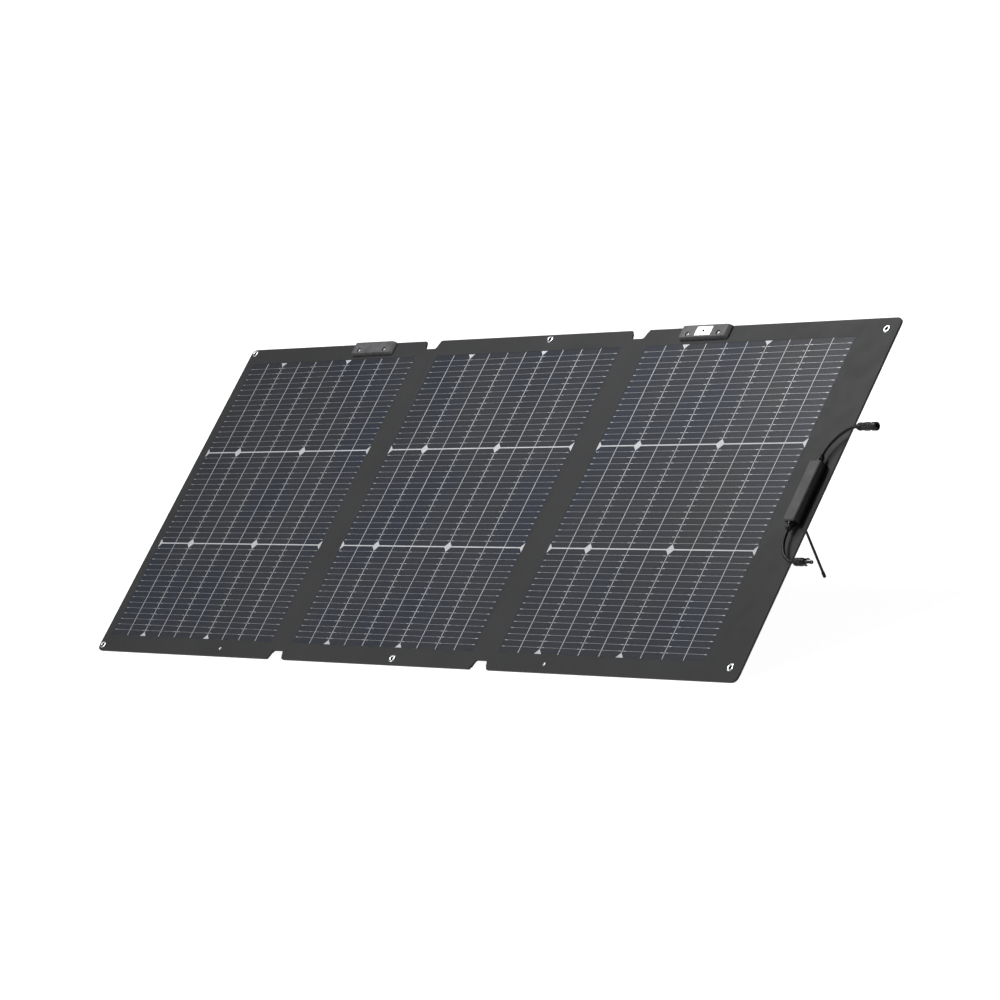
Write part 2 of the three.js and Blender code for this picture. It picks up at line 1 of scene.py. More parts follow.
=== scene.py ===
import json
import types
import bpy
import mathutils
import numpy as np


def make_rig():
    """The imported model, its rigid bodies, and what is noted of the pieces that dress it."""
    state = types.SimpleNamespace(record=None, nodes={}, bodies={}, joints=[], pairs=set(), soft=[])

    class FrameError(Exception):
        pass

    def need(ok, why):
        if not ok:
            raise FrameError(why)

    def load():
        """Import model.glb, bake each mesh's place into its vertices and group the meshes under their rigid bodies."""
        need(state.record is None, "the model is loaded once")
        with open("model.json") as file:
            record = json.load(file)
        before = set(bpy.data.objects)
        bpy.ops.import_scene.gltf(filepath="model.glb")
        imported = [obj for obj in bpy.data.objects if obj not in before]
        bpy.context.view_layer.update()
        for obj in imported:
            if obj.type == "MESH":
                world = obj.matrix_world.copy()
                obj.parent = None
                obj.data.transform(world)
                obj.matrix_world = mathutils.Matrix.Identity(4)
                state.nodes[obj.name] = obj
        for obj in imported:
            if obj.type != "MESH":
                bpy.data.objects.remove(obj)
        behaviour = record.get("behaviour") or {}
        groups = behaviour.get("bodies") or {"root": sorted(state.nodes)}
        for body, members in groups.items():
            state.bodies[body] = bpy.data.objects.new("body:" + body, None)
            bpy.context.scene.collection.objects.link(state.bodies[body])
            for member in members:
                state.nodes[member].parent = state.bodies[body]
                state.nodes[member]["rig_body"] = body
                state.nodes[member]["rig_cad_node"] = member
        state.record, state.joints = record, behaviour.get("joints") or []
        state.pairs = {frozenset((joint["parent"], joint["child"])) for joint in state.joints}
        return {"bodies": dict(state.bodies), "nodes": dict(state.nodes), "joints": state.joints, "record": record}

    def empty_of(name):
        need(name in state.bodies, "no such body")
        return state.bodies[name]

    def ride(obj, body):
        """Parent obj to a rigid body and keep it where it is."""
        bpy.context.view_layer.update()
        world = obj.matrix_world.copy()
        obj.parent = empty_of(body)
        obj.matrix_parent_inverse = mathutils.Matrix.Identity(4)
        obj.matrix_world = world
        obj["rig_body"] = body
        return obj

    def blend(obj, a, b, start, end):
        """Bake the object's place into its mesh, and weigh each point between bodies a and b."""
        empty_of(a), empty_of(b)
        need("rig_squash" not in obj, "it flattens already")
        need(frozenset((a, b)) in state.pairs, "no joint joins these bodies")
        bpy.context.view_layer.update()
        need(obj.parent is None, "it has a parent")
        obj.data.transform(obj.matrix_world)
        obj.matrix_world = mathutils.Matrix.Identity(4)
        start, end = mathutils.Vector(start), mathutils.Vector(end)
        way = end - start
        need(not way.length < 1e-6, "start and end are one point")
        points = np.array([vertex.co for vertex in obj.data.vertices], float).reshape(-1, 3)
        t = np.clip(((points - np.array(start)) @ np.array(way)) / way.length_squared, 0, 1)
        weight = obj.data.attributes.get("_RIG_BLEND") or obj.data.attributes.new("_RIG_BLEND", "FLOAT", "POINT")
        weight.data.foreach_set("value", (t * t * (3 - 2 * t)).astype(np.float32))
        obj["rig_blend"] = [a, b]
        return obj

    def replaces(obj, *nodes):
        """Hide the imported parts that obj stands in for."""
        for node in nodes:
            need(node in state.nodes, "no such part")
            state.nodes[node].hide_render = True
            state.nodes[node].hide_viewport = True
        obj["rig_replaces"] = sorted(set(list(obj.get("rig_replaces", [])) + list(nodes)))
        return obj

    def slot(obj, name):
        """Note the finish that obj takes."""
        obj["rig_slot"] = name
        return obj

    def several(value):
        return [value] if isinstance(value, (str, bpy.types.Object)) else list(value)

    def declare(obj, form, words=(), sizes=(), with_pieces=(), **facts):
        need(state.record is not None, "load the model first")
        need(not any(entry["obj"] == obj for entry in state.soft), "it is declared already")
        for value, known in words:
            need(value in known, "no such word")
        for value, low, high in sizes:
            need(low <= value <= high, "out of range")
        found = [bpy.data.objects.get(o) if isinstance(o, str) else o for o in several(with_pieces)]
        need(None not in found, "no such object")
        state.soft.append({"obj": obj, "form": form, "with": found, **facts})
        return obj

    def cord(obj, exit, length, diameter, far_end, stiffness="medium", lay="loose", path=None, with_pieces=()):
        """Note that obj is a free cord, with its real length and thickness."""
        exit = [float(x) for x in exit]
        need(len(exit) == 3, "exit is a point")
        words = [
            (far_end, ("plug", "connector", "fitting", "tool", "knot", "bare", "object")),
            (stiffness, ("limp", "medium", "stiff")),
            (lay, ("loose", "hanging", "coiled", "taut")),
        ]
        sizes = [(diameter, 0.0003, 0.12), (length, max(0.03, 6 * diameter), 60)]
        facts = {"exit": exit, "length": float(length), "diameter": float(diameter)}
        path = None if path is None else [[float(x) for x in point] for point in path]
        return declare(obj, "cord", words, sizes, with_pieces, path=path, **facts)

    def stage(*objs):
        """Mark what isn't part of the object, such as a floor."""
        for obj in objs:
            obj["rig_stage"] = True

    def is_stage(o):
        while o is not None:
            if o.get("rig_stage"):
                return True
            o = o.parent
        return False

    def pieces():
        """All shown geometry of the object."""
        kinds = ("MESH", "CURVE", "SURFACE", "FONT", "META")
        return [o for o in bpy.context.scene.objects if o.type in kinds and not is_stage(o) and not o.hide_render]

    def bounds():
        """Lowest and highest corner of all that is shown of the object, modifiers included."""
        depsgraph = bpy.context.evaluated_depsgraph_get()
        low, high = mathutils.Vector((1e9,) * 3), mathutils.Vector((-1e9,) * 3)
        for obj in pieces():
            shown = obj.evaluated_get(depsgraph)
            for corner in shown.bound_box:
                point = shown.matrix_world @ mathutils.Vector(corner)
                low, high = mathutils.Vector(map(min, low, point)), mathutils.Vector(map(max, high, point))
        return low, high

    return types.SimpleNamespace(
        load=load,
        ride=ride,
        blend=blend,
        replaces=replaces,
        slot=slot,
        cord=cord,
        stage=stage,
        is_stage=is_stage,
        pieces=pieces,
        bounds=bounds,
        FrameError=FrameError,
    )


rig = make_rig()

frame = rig.load()

# Tri-fold portable solar panel: its fine surfaces, materials, light and camera, built round
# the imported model. Shapes are drawn in panel millimetres, x along the width from the left
# edge, s up the sloping face and n out of it, and then turned into the frame's metres.

import json
import math
import random

import bmesh
import bpy
from mathutils import Matrix, Vector
from mathutils.geometry import tessellate_polygon

CAD_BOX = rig.bounds()
NODES = frame["nodes"]
JOINTS = {joint["name"]: joint for joint in frame["joints"]}
SECTIONS = ("left", "middle", "right")
SIDES, FINE_SIDES, FEW_SIDES = 48, 64, 32  # facets of turned pieces
SHARP = 32  # degrees between two faces that make a sharp edge

# ---- panel directions ------------------------------------------------------------------

MM = 0.001
ACROSS = Vector((1, 0, 0))
UP = Vector(JOINTS["left_fold"]["axis"]).normalized()
OUT = ACROSS.cross(UP)
SLOPE = math.atan2(UP.z, UP.y)


def reach(node, direction):
    """Least and greatest distance of a CAD node along a direction, in metres."""
    along = [vertex.co.dot(direction) for vertex in NODES[node].data.vertices]
    return min(along), max(along)


ORIGIN = (
    ACROSS * reach("front_laminate_left", ACROSS)[0]
    + UP * reach("front_laminate_left", UP)[0]
    + OUT * reach("front_laminate_left", OUT)[1]
)
PANEL = Matrix.Translation(ORIGIN) @ Matrix((ACROSS, UP, OUT)).transposed().to_4x4()
PANEL = PANEL @ Matrix.Scale(MM, 4)
LOCAL = PANEL.inverted()

# Turn a shape drawn along n so that it runs along x, up s or down s.
ALONG_X = Matrix.Rotation(math.pi / 2, 4, "Y")
ALONG_S = Matrix.Rotation(-math.pi / 2, 4, "X")
DOWN_S = Matrix.Rotation(math.pi / 2, 4, "X")


def span(node):
    """Lowest and highest corner of a CAD node, in panel millimetres."""
    points = [LOCAL @ vertex.co for vertex in NODES[node].data.vertices]
    low = Vector([min(point[i] for point in points) for i in range(3)])
    high = Vector([max(point[i] for point in points) for i in range(3)])
    return low, high


def middle(node):
    low, high = span(node)
    return (low + high) / 2


# ---- camera and leads ------------------------------------------------------------------

CAMERA = {
    "place": (5.0047, -3.7742, 1.394),
    "turn": (78.732, 13.736, 49.836),  # degrees about X, Y and Z
    "lens": 145.67,
}
LEAD_DIAMETER = 0.005
LEAD_TUCK = 3  # how far each end of a lead goes into its nut, in millimetres
LEAD_RINGS, LEAD_SIDES = 36, 24

# Each lead's start, two control points and end in metres, as x, s, n from the panel's lower
# left corner.
LEADS = {
    "upper": [
        (1.597, 0.3707, 0.009), (1.597, 0.389, 0.0098), (1.620, 0.4178, 0.0102), (1.6427, 0.418, 0.010)],
    "lower": [
        (1.597, 0.2443, 0.009), (1.597, 0.221, 0.0098), (1.614, 0.192, 0.0103), (1.640, 0.1915, 0.010)],
}


def link(name, data):
    obj = bpy.data.objects.new(name, data)
    bpy.context.scene.collection.objects.link(obj)
    return obj


def smooth(mesh):
    mesh.polygons.foreach_set("use_smooth", [True] * len(mesh.polygons))
    mesh.set_sharp_from_angle(angle=math.radians(SHARP))


def drawn(name, bm):
    """Object made from a mesh drawn in panel millimetres."""
    bmesh.ops.recalc_face_normals(bm, faces=bm.faces)
    bm.transform(PANEL)
    mesh = bpy.data.meshes.new(name)
    bm.to_mesh(mesh)
    bm.free()
    smooth(mesh)
    return link(name, mesh)


def settle(obj, slot, body, *nodes):
    """Lets a finished object ride on a body and stand for the CAD nodes named."""
    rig.ride(obj, body)
    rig.replaces(obj, *nodes)
    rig.slot(obj, slot)
    return obj


def make_camera():
    data = bpy.data.cameras.new("camera")
    data.lens = CAMERA["lens"]
    data.sensor_width = 36
    data.clip_end = 2000
    camera = link("camera", data)
    camera.location = CAMERA["place"]
    camera.rotation_euler = [math.radians(angle) for angle in CAMERA["turn"]]
    bpy.context.scene.camera = camera


def bridge(bm, lower, upper):
    """Faces between two closed rings; a ring of one vertex is a pole."""
    count = max(len(lower), len(upper))
    for i in range(count):
        j = (i + 1) % count
        if len(lower) == 1:
            corners = (lower[0], upper[j], upper[i])
        elif len(upper) == 1:
            corners = (lower[i], lower[j], upper[0])
        else:
            corners = (lower[i], lower[j], upper[j], upper[i])
        bm.faces.new(corners)


def lead_centres(name):
    """Points along a lead's curve, with its ends tucked into their nuts."""
    start, leave, arrive, end = [Vector(point) / MM for point in LEADS[name]]
    points = [start + (start - leave).normalized() * LEAD_TUCK]
    for i in range(LEAD_RINGS):
        t = i / (LEAD_RINGS - 1)
        u = 1 - t
        points.append(start * u ** 3 + leave * 3 * u * u * t + arrive * 3 * u * t * t + end * t ** 3)
    return points + [end + (end - arrive).normalized() * LEAD_TUCK]


def make_lead(name):
    """Round sheath along the lead's curve."""
    centres = lead_centres(name)
    radius = LEAD_DIAMETER / MM / 2
    turns = [2 * math.pi * k / LEAD_SIDES for k in range(LEAD_SIDES)]
    bm = bmesh.new()
    rings = []
    for i, centre in enumerate(centres):
        along = centres[min(i + 1, len(centres) - 1)] - centres[max(i - 1, 0)]
        side = along.cross(Vector((0, 0, 1))).normalized()
        over = side.cross(along).normalized()
        rings.append([
            bm.verts.new(centre + (side * math.cos(a) + over * math.sin(a)) * radius) for a in turns])
    for lower, upper in zip(rings, rings[1:]):
        bridge(bm, lower, upper)
    bm.faces.new(rings[0])
    bm.faces.new(rings[-1])
    lead = drawn(f"lead_{name}", bm)
    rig.ride(lead, "right_section")
    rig.replaces(lead, f"lead_cable_{name}")
    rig.slot(lead, "cable")
    return lead, [PANEL @ centre for centre in centres]


make_camera()
leads = {name: make_lead(name) for name in LEADS}

# ---- materials -------------------------------------------------------------------------


class Shader:
    """A procedural material on one Principled shader. Textures run in panel millimetres."""

    def __init__(self, name, **sockets):
        self.material = bpy.data.materials.new(name)
        self.material.use_nodes = True
        self.tree = self.material.node_tree
        self.principled = self.tree.nodes["Principled BSDF"]
        for socket, value in sockets.items():
            self.principled.inputs[socket.replace("_", " ")].default_value = value
        source = self.add("TexCoord")
        self.place = self.add("Mapping", source.outputs["Object"])
        self.place.inputs["Rotation"].default_value = (-SLOPE, 0, 0)
        self.place.inputs["Scale"].default_value = (1 / MM, 1 / MM, 1 / MM)
        self.height = None

    def add(self, kind, *links, **values):
        """Adds a node. Links fill its first inputs; values set named inputs or properties."""
        node = self.tree.nodes.new("ShaderNode" + kind)
        for name, value in values.items():
            if hasattr(node, name):
                setattr(node, name, value)
            else:
                node.inputs[name.replace("_", " ")].default_value = value
        for socket, output in zip(node.inputs, links):
            if output is not None:
                self.tree.links.new(output, socket)
        return node

    def link(self, output, socket):
        self.tree.links.new(output, self.principled.inputs[socket])

    def stretched(self, x, y, z):
        """Texture coordinates scaled by different amounts along x, s and n."""
        node = self.add("Mapping", self.place.outputs[0])
        node.inputs["Scale"].default_value = (x, y, z)
        return node.outputs[0]

    def noise(self, size, detail=2.0, source=None):
        """Noise with features of about this many millimetres."""
        node = self.add("TexNoise", source or self.place.outputs[0], Detail=detail)
        node.inputs["Scale"].default_value = 1 / size
        return node.outputs["Fac"]

    def grains(self, size, source=None):
        node = self.add("TexVoronoi", source or self.place.outputs[0])
        node.inputs["Scale"].default_value = 1 / size
        return node.outputs["Distance"]

    def bands(self, pitch, direction, source=None):
        """Rounded ribs at a pitch in millimetres along X or Y."""
        node = self.add("TexWave", source or self.place.outputs[0], bands_direction=direction)
        node.inputs["Scale"].default_value = math.pi / (10 * pitch)
        return node.outputs["Fac"]

    def math(self, operation, a, b):
        node = self.add("Math", operation=operation)
        for socket, value in zip(node.inputs, (a, b)):
            if isinstance(value, (int, float)):
                socket.default_value = value
            else:
                self.tree.links.new(value, socket)
        return node.outputs[0]

    def fit(self, fac, low, high, start=0.3, end=0.7):
        """Maps a texture's middle range on to low to high."""
        node = self.add("MapRange", fac)
        for index, value in enumerate((start, end, low, high), 1):
            node.inputs[index].default_value = value
        return node.outputs[0]

    def ramp(self, fac, *stops):
        """Colour ramp with stops of (position, (r, g, b))."""
        node = self.add("ValToRGB", fac)
        elements = node.color_ramp.elements
        while len(elements) < len(stops):
            elements.new(0.5)
        for element, (position, color) in zip(elements, stops):
            element.position = position
            element.color = (*color, 1)
        return node.outputs[0]

    def paint(self, fac, dark, light, start=0.3, end=0.7):
        """Base colour between two tones that follows a texture."""
        self.link(self.ramp(fac, (start, dark), (end, light)), "Base Color")

    def rough(self, size, detail, low, high):
        """Roughness that drifts between two values."""
        self.link(self.fit(self.noise(size, detail), low, high), "Roughness")

    def blend(self, fac, a, b, kind="MIX"):
        """Mixes two colours, each a socket or an (r, g, b)."""
        node = self.add("Mix", data_type="RGBA", blend_type=kind)
        for name, value in (("Factor", fac), ("A", a), ("B", b)):
            sockets = [s for s in node.inputs if s.name == name and s.enabled]
            if isinstance(value, (int, float)):
                sockets[0].default_value = value
            elif isinstance(value, tuple):
                sockets[0].default_value = (*value, 1)
            else:
                self.tree.links.new(value, sockets[0])
        return [s for s in node.outputs if s.enabled][0]

    def bump(self, height, depth, strength=1.0):
        """Adds relief of a depth in millimetres on top of what is there already."""
        node = self.add("Bump", Strength=strength, Distance=depth * MM)
        self.tree.links.new(height, node.inputs["Height"])
        if self.height is not None:
            self.tree.links.new(self.height, node.inputs["Normal"])
        self.height = node.outputs[0]
        self.link(self.height, "Normal")


def shade(color, amount):
    return tuple(channel * amount for channel in color)


def film_finish():
    """Charcoal film with a fine embossed grain and slow changes of tone."""
    color = (0.0195, 0.0197, 0.0205)
    made = Shader("film", Specular_IOR_Level=0.1)
    slow = made.noise(140, 3)
    fine = made.noise(0.9, 2)
    tone = made.ramp(slow, (0.3, shade(color, 0.9)), (0.7, shade(color, 1.1)))
    speck = made.fit(fine, 0.9, 1.12)
    made.link(made.blend(1.0, tone, made.blend(speck, (0, 0, 0), (1, 1, 1)), "MULTIPLY"), "Base Color")
    made.rough(30, 4, 0.52, 0.64)
    made.bump(made.grains(0.9), 0.03, 0.5)
    made.bump(made.noise(45, 2), 0.25, 0.25)
    return made.material


def cell_finish():
    """Dark silicon seen through clear film: each strip has a tone of its own."""
    made = Shader("cells", Specular_IOR_Level=0.12, Coat_Weight=0.05, Coat_Roughness=0.35)
    strip = made.add("Attribute", attribute_name="tone").outputs["Fac"]
    drift = made.noise(170, 2)
    blue, neutral = (0.0115, 0.0135, 0.0205), (0.0150, 0.0157, 0.0185)
    tone = made.blend(made.fit(drift, 0, 1, 0.36, 0.62), blue, neutral)
    lift = made.math("ADD", made.fit(strip, 0.93, 1.07, 0, 1), made.fit(made.noise(2.2, 4), -0.08, 0.08))
    fingers = made.fit(made.bands(1.3, "X"), 0.98, 1.06, 0.8, 1.0)
    made.link(made.blend(1.0, tone, made.math("MULTIPLY", lift, fingers), "MULTIPLY"), "Base Color")
    made.rough(14, 4, 0.42, 0.54)
    made.bump(made.grains(1.1), 0.035, 0.5)
    made.bump(made.noise(60, 2), 0.3, 0.25)
    return made.material


def wire_finish():
    """Tinned wires and solder pads under the film."""
    made = Shader("cell_metal", Metallic=0.5)
    made.paint(made.noise(5, 4), (0.20, 0.205, 0.21), (0.29, 0.295, 0.30))
    made.rough(1.5, 3, 0.3, 0.5)
    made.bump(made.noise(0.6, 3), 0.02, 0.4)
    return made.material


def gap_finish():
    """White sheet behind the cells."""
    made = Shader("cell_gap", Specular_IOR_Level=0.4)
    made.paint(made.noise(25, 4), (0.25, 0.255, 0.265), (0.29, 0.295, 0.305))
    made.rough(6, 3, 0.4, 0.55)
    made.bump(made.grains(0.9), 0.03, 0.4)
    return made.material


def board_finish():
    """Black glass-fibre laminate: a plain weave under resin."""
    made = Shader("board", Specular_IOR_Level=0.4)
    weave = made.math("MULTIPLY", made.bands(1.6, "X"), made.bands(1.6, "Y"))
    made.paint(weave, (0.012, 0.012, 0.013), (0.022, 0.022, 0.023), 0.1, 0.9)
    made.rough(9, 3, 0.5, 0.68)
    made.bump(weave, 0.06, 0.5)
    return made.material


def fabric_finish():
    """Black polyester in a plain weave, with slubs and a soft sheen."""
    made = Shader("fabric", Sheen_Weight=0.18, Sheen_Roughness=0.45, Specular_IOR_Level=0.25)
    warp, weft = made.bands(0.9, "X"), made.bands(0.9, "Y")
    slub = made.noise(1.4, 3, made.stretched(1, 0.12, 1))
    weave = made.math("MAXIMUM", made.math("MULTIPLY", warp, 0.9), weft)
    tone = made.ramp(weave, (0.2, (0.009, 0.009, 0.010)), (0.9, (0.026, 0.026, 0.028)))
    wear = made.math("ADD", slub, made.math("MULTIPLY", made.noise(90, 3), 0.5))
    made.link(made.blend(1.0, tone, made.fit(wear, 0.8, 1.3, 0.5, 1.0), "MULTIPLY"), "Base Color")
    made.link(made.fit(slub, 0.78, 0.92), "Roughness")
    made.bump(weave, 0.16, 0.8)
    made.bump(made.noise(35, 3), 0.5, 0.3)
    return made.material


def thread_finish():
    made = Shader("thread", Sheen_Weight=0.2, Specular_IOR_Level=0.3)
    made.paint(made.noise(0.8, 3), (0.028, 0.028, 0.03), (0.055, 0.055, 0.058))
    made.rough(2, 2, 0.65, 0.8)
    made.bump(made.bands(0.35, "DIAGONAL"), 0.05, 0.6)
    return made.material


def metal_finish(name, dark, light, rough):
    """Plated metal with fine turning marks and faint smudges."""
    made = Shader(name, Metallic=1.0)
    marks = made.noise(0.35, 4, made.stretched(1, 6, 1))
    made.paint(made.noise(6, 4), dark, light)
    smudges = made.math("ADD", made.noise(4, 4), made.math("MULTIPLY", marks, 0.3))
    made.link(made.fit(smudges, *rough, 0.4, 0.9), "Roughness")
    made.bump(marks, 0.015, 0.5)
    return made.material


def moulded_finish(name, color, rough, grain, depth, specular=0.5):
    """Moulded plastic or rubber: fine spark texture, with paler rubbed patches."""
    made = Shader(name, Specular_IOR_Level=specular)
    patches = made.noise(18, 5)
    tone = made.ramp(patches, (0.3, shade(color, 0.8)), (0.68, shade(color, 1.2)), (0.9, shade(color, 1.7)))
    speck = made.fit(made.noise(0.5, 3), 0.85, 1.15)
    made.link(made.blend(1.0, tone, speck, "MULTIPLY"), "Base Color")
    made.rough(7, 4, *rough)
    made.bump(made.noise(grain, 2), depth, 0.6)
    return made.material


def circuit_finish():
    """Green board with paler copper tracks under the solder mask."""
    made = Shader("circuit", Coat_Weight=0.3, Coat_Roughness=0.2)
    tracks = made.math("MAXIMUM", made.bands(5.5, "X"), made.bands(14, "Y"))
    made.paint(tracks, (0.02, 0.075, 0.035), (0.05, 0.14, 0.06), 0.8, 0.86)
    made.rough(5, 3, 0.35, 0.5)
    made.bump(tracks, 0.05, 0.5)
    return made.material


# Two tones and the roughness range of each metal.
METALS = {
    "steel": ((0.50, 0.51, 0.52), (0.70, 0.71, 0.72), (0.2, 0.36)),
    # The screw tones are darker than the steel's. This is partly painted shade, standing for the shade in the clips'
    # counterbores round the screw heads. The domed edge rivets take the same darker metal.
    "screw": ((0.22, 0.22, 0.23), (0.34, 0.34, 0.35), (0.38, 0.48)),
    "contact": ((0.55, 0.50, 0.38), (0.74, 0.69, 0.56), (0.22, 0.38)),
}
# Colour, roughness range, size and depth of the grain, and specular level of each moulding.
MOULDINGS = {
    "plastic": ((0.0028, 0.0028, 0.003), (0.3, 0.42), 0.35, 0.02, 0.16),
    "lid": ((0.028, 0.028, 0.029), (0.5, 0.64), 0.6, 0.05, 0.2),
    "clip": ((0.056, 0.056, 0.058), (0.5, 0.64), 0.5, 0.04, 0.15),
    "rubber": ((0.005, 0.005, 0.0054), (0.72, 0.86), 0.4, 0.04, 0.25),
    "cable": ((0.003, 0.003, 0.0032), (0.36, 0.46), 0.8, 0.02, 0.14),
    "target": ((0.66, 0.66, 0.65), (0.3, 0.42), 0.5, 0.01),
    "rod": ((0.003, 0.003, 0.0032), (0.3, 0.42), 0.7, 0.02, 0.18),
}
MATERIALS = {
    "laminate": film_finish(),
    "cells": cell_finish(),
    "cell_metal": wire_finish(),
    "cell_gap": gap_finish(),
    "board": board_finish(),
    "fabric": fabric_finish(),
    "thread": thread_finish(),
    "circuit": circuit_finish(),
}
MATERIALS.update({name: metal_finish(name, *look) for name, look in METALS.items()})
MATERIALS.update({name: moulded_finish(name, *look) for name, look in MOULDINGS.items()})

for lead, _ in leads.values():
    lead.data.materials.append(MATERIALS["cable"])

# ---- mesh helpers ----------------------------------------------------------------------

BEVEL_SEGMENTS = 2
BEVEL_ANGLE = 35  # degrees; edges sharper than this are rounded
ROUNDING_STEPS = 3


def turned(bm, profile, place=Matrix(), sides=SIDES):
    """Body turned round its own n axis from points of (radius, along). It closes on the
    axis at radius 0, or on itself where the last point repeats the first."""
    hollow = profile[0] == profile[-1]
    rings = []
    for radius, along in profile[:-1] if hollow else profile:
        if radius == 0:
            rings.append([bm.verts.new(place @ Vector((0, 0, along)))])
            continue
        ring = []
        for i in range(sides):
            angle = 2 * math.pi * i / sides
            ring.append(bm.verts.new(
                place @ Vector((radius * math.cos(angle), radius * math.sin(angle), along))))
        rings.append(ring)
    for lower, upper in zip(rings, rings[1:]):
        bridge(bm, lower, upper)
    if hollow:
        bridge(bm, rings[-1], rings[0])


def rounded(profile, radius):
    """The same profile with each of its inner corners rounded."""
    points = [Vector(point) for point in profile]
    made = [tuple(points[0])]
    for before, here, after in zip(points, points[1:], points[2:]):
        cut = min(radius, (here - before).length * 0.45, (after - here).length * 0.45)
        start = here + (before - here).normalized() * cut
        end = here + (after - here).normalized() * cut
        for k in range(ROUNDING_STEPS + 1):
            t = k / ROUNDING_STEPS
            made.append(tuple((1 - t) ** 2 * start + 2 * t * (1 - t) * here + t * t * end))
    return made + [tuple(points[-1])]


def inset(loop, distance):
    """Moves a loop into its material by a small distance."""
    moved = []
    for i, here in enumerate(loop):
        before = (here - loop[i - 1]).normalized()
        after = (loop[(i + 1) % len(loop)] - here).normalized()
        inward = Vector((-before.y - after.y, before.x + after.x)).normalized()
        spread = max(0.4, inward.dot(Vector((-before.y, before.x))))
        moved.append(here + inward * (distance / spread))
    return moved


def slab(bm, loops, profile, place=Matrix()):
    """Flat body: the loops, outer one first, drawn at each (inset, height) from the back to
    the front and capped at both ends."""
    rows = []
    for loop in loops:
        rows.append([
            [bm.verts.new(place @ Vector((*point, height))) for point in inset(loop, distance)]
            for distance, height in profile
        ])
    for row in rows:
        for lower, upper in zip(row, row[1:]):
            bridge(bm, lower, upper)
    flat = place.inverted()
    for end in (0, -1):
        corners = [vertex for row in rows for vertex in row[end]]
        for triangle in tessellate_polygon([[flat @ v.co for v in row[end]] for row in rows]):
            bm.faces.new([corners[i] for i in triangle])


def edged(back, front, radius):
    """Slab profile with both edges rounded. A flat rim keeps the big faces' shading even."""
    rise = radius * 0.3
    return [
        (radius + 0.3, back), (radius, back), (rise, back + rise), (0, back + radius),
        (0, front - radius), (rise, front - rise), (radius, front), (radius + 0.3, front),
    ]


def circle(x, y, radius):
    """A round hole's loop, clockwise so that its material lies outside."""
    turns = [-2 * math.pi * i / SIDES for i in range(SIDES)]
    return [Vector((x + radius * math.cos(a), y + radius * math.sin(a))) for a in turns]


def rectangle(low, high, corner=0.0, steps=6):
    """A counter-clockwise rectangle's loop with round corners."""
    if corner == 0:
        return [Vector(p) for p in ((low[0], low[1]), (high[0], low[1]),
                                    (high[0], high[1]), (low[0], high[1]))]
    loop = []
    centres = ((high[0] - corner, low[1] + corner, -1), (high[0] - corner, high[1] - corner, 0),
               (low[0] + corner, high[1] - corner, 1), (low[0] + corner, low[1] + corner, 2))
    for x, y, quarter in centres:
        for k in range(steps + 1):
            angle = math.pi / 2 * (quarter + k / steps)
            loop.append(Vector((x + corner * math.cos(angle), y + corner * math.sin(angle))))
    return loop


def box_body(bm, low, high, bevel=0.0, place=Matrix()):
    """Block between two corners with all of its edges rounded."""
    size, centre = Vector(high) - Vector(low), (Vector(high) + Vector(low)) / 2
    shape = Matrix.Translation(centre) @ Matrix.Diagonal((*size, 1))
    made = bmesh.ops.create_cube(bm, size=1, matrix=shape)["verts"]
    if bevel:
        edges = list({edge for vertex in made for edge in vertex.link_edges})
        made = bmesh.ops.bevel(
            bm, geom=made + edges, offset=bevel, segments=BEVEL_SEGMENTS, profile=0.5,
            affect="EDGES", clamp_overlap=True)["verts"]
    bmesh.ops.transform(bm, matrix=place, verts=list(set(made)))


def outline(node):
    """Outer loop and round holes of a flat CAD node's front, with the corners softened."""
    bm = bmesh.new()
    bm.from_mesh(NODES[node].data)
    bm.transform(LOCAL)
    bmesh.ops.remove_doubles(bm, verts=bm.verts, dist=0.01)
    top = max(vertex.co.z for vertex in bm.verts)
    front = {face for face in bm.faces if all(v.co.z > top - 0.02 for v in face.verts)}
    follow = {}
    for face in front:
        for corner in face.loops:
            if sum(neighbour in front for neighbour in corner.edge.link_faces) == 1:
                follow[corner.vert] = corner.link_loop_next.vert
    outer, holes = [], []
    while follow:
        start, here = next(iter(follow.items()))
        loop = [start.co.xy]
        del follow[start]
        while here is not start:
            loop.append(here.co.xy)
            here = follow.pop(here)
        area = sum(a.cross(b) for a, b in zip(loop, loop[1:] + loop[:1]))
        if area > 0:
            outer = soften(loop)
        else:
            centre = sum(loop, Vector((0, 0))) / len(loop)
            holes.append((*centre, sum((p - centre).length for p in loop) / len(loop)))
    bm.free()
    return outer, holes


def soften(loop):
    """Cuts each corner back a little, twice, so that a coarse arc turns into a smooth one."""
    for _ in range(2):
        made = []
        for i, here in enumerate(loop):
            before, after = loop[i - 1], loop[(i + 1) % len(loop)]
            step = 0.25 * min((here - before).length, (after - here).length)
            made.append(here + (before - here).normalized() * step)
            made.append(here + (after - here).normalized() * step)
        loop = made
    return loop


def solid(name, bm, finish):
    obj = drawn(name, bm)
    obj.data.materials.append(MATERIALS[finish])
    return obj


def piece(name, bm, finish, body, *nodes, slot=None):
    return settle(solid(name, bm, finish), slot or finish, body, *nodes)


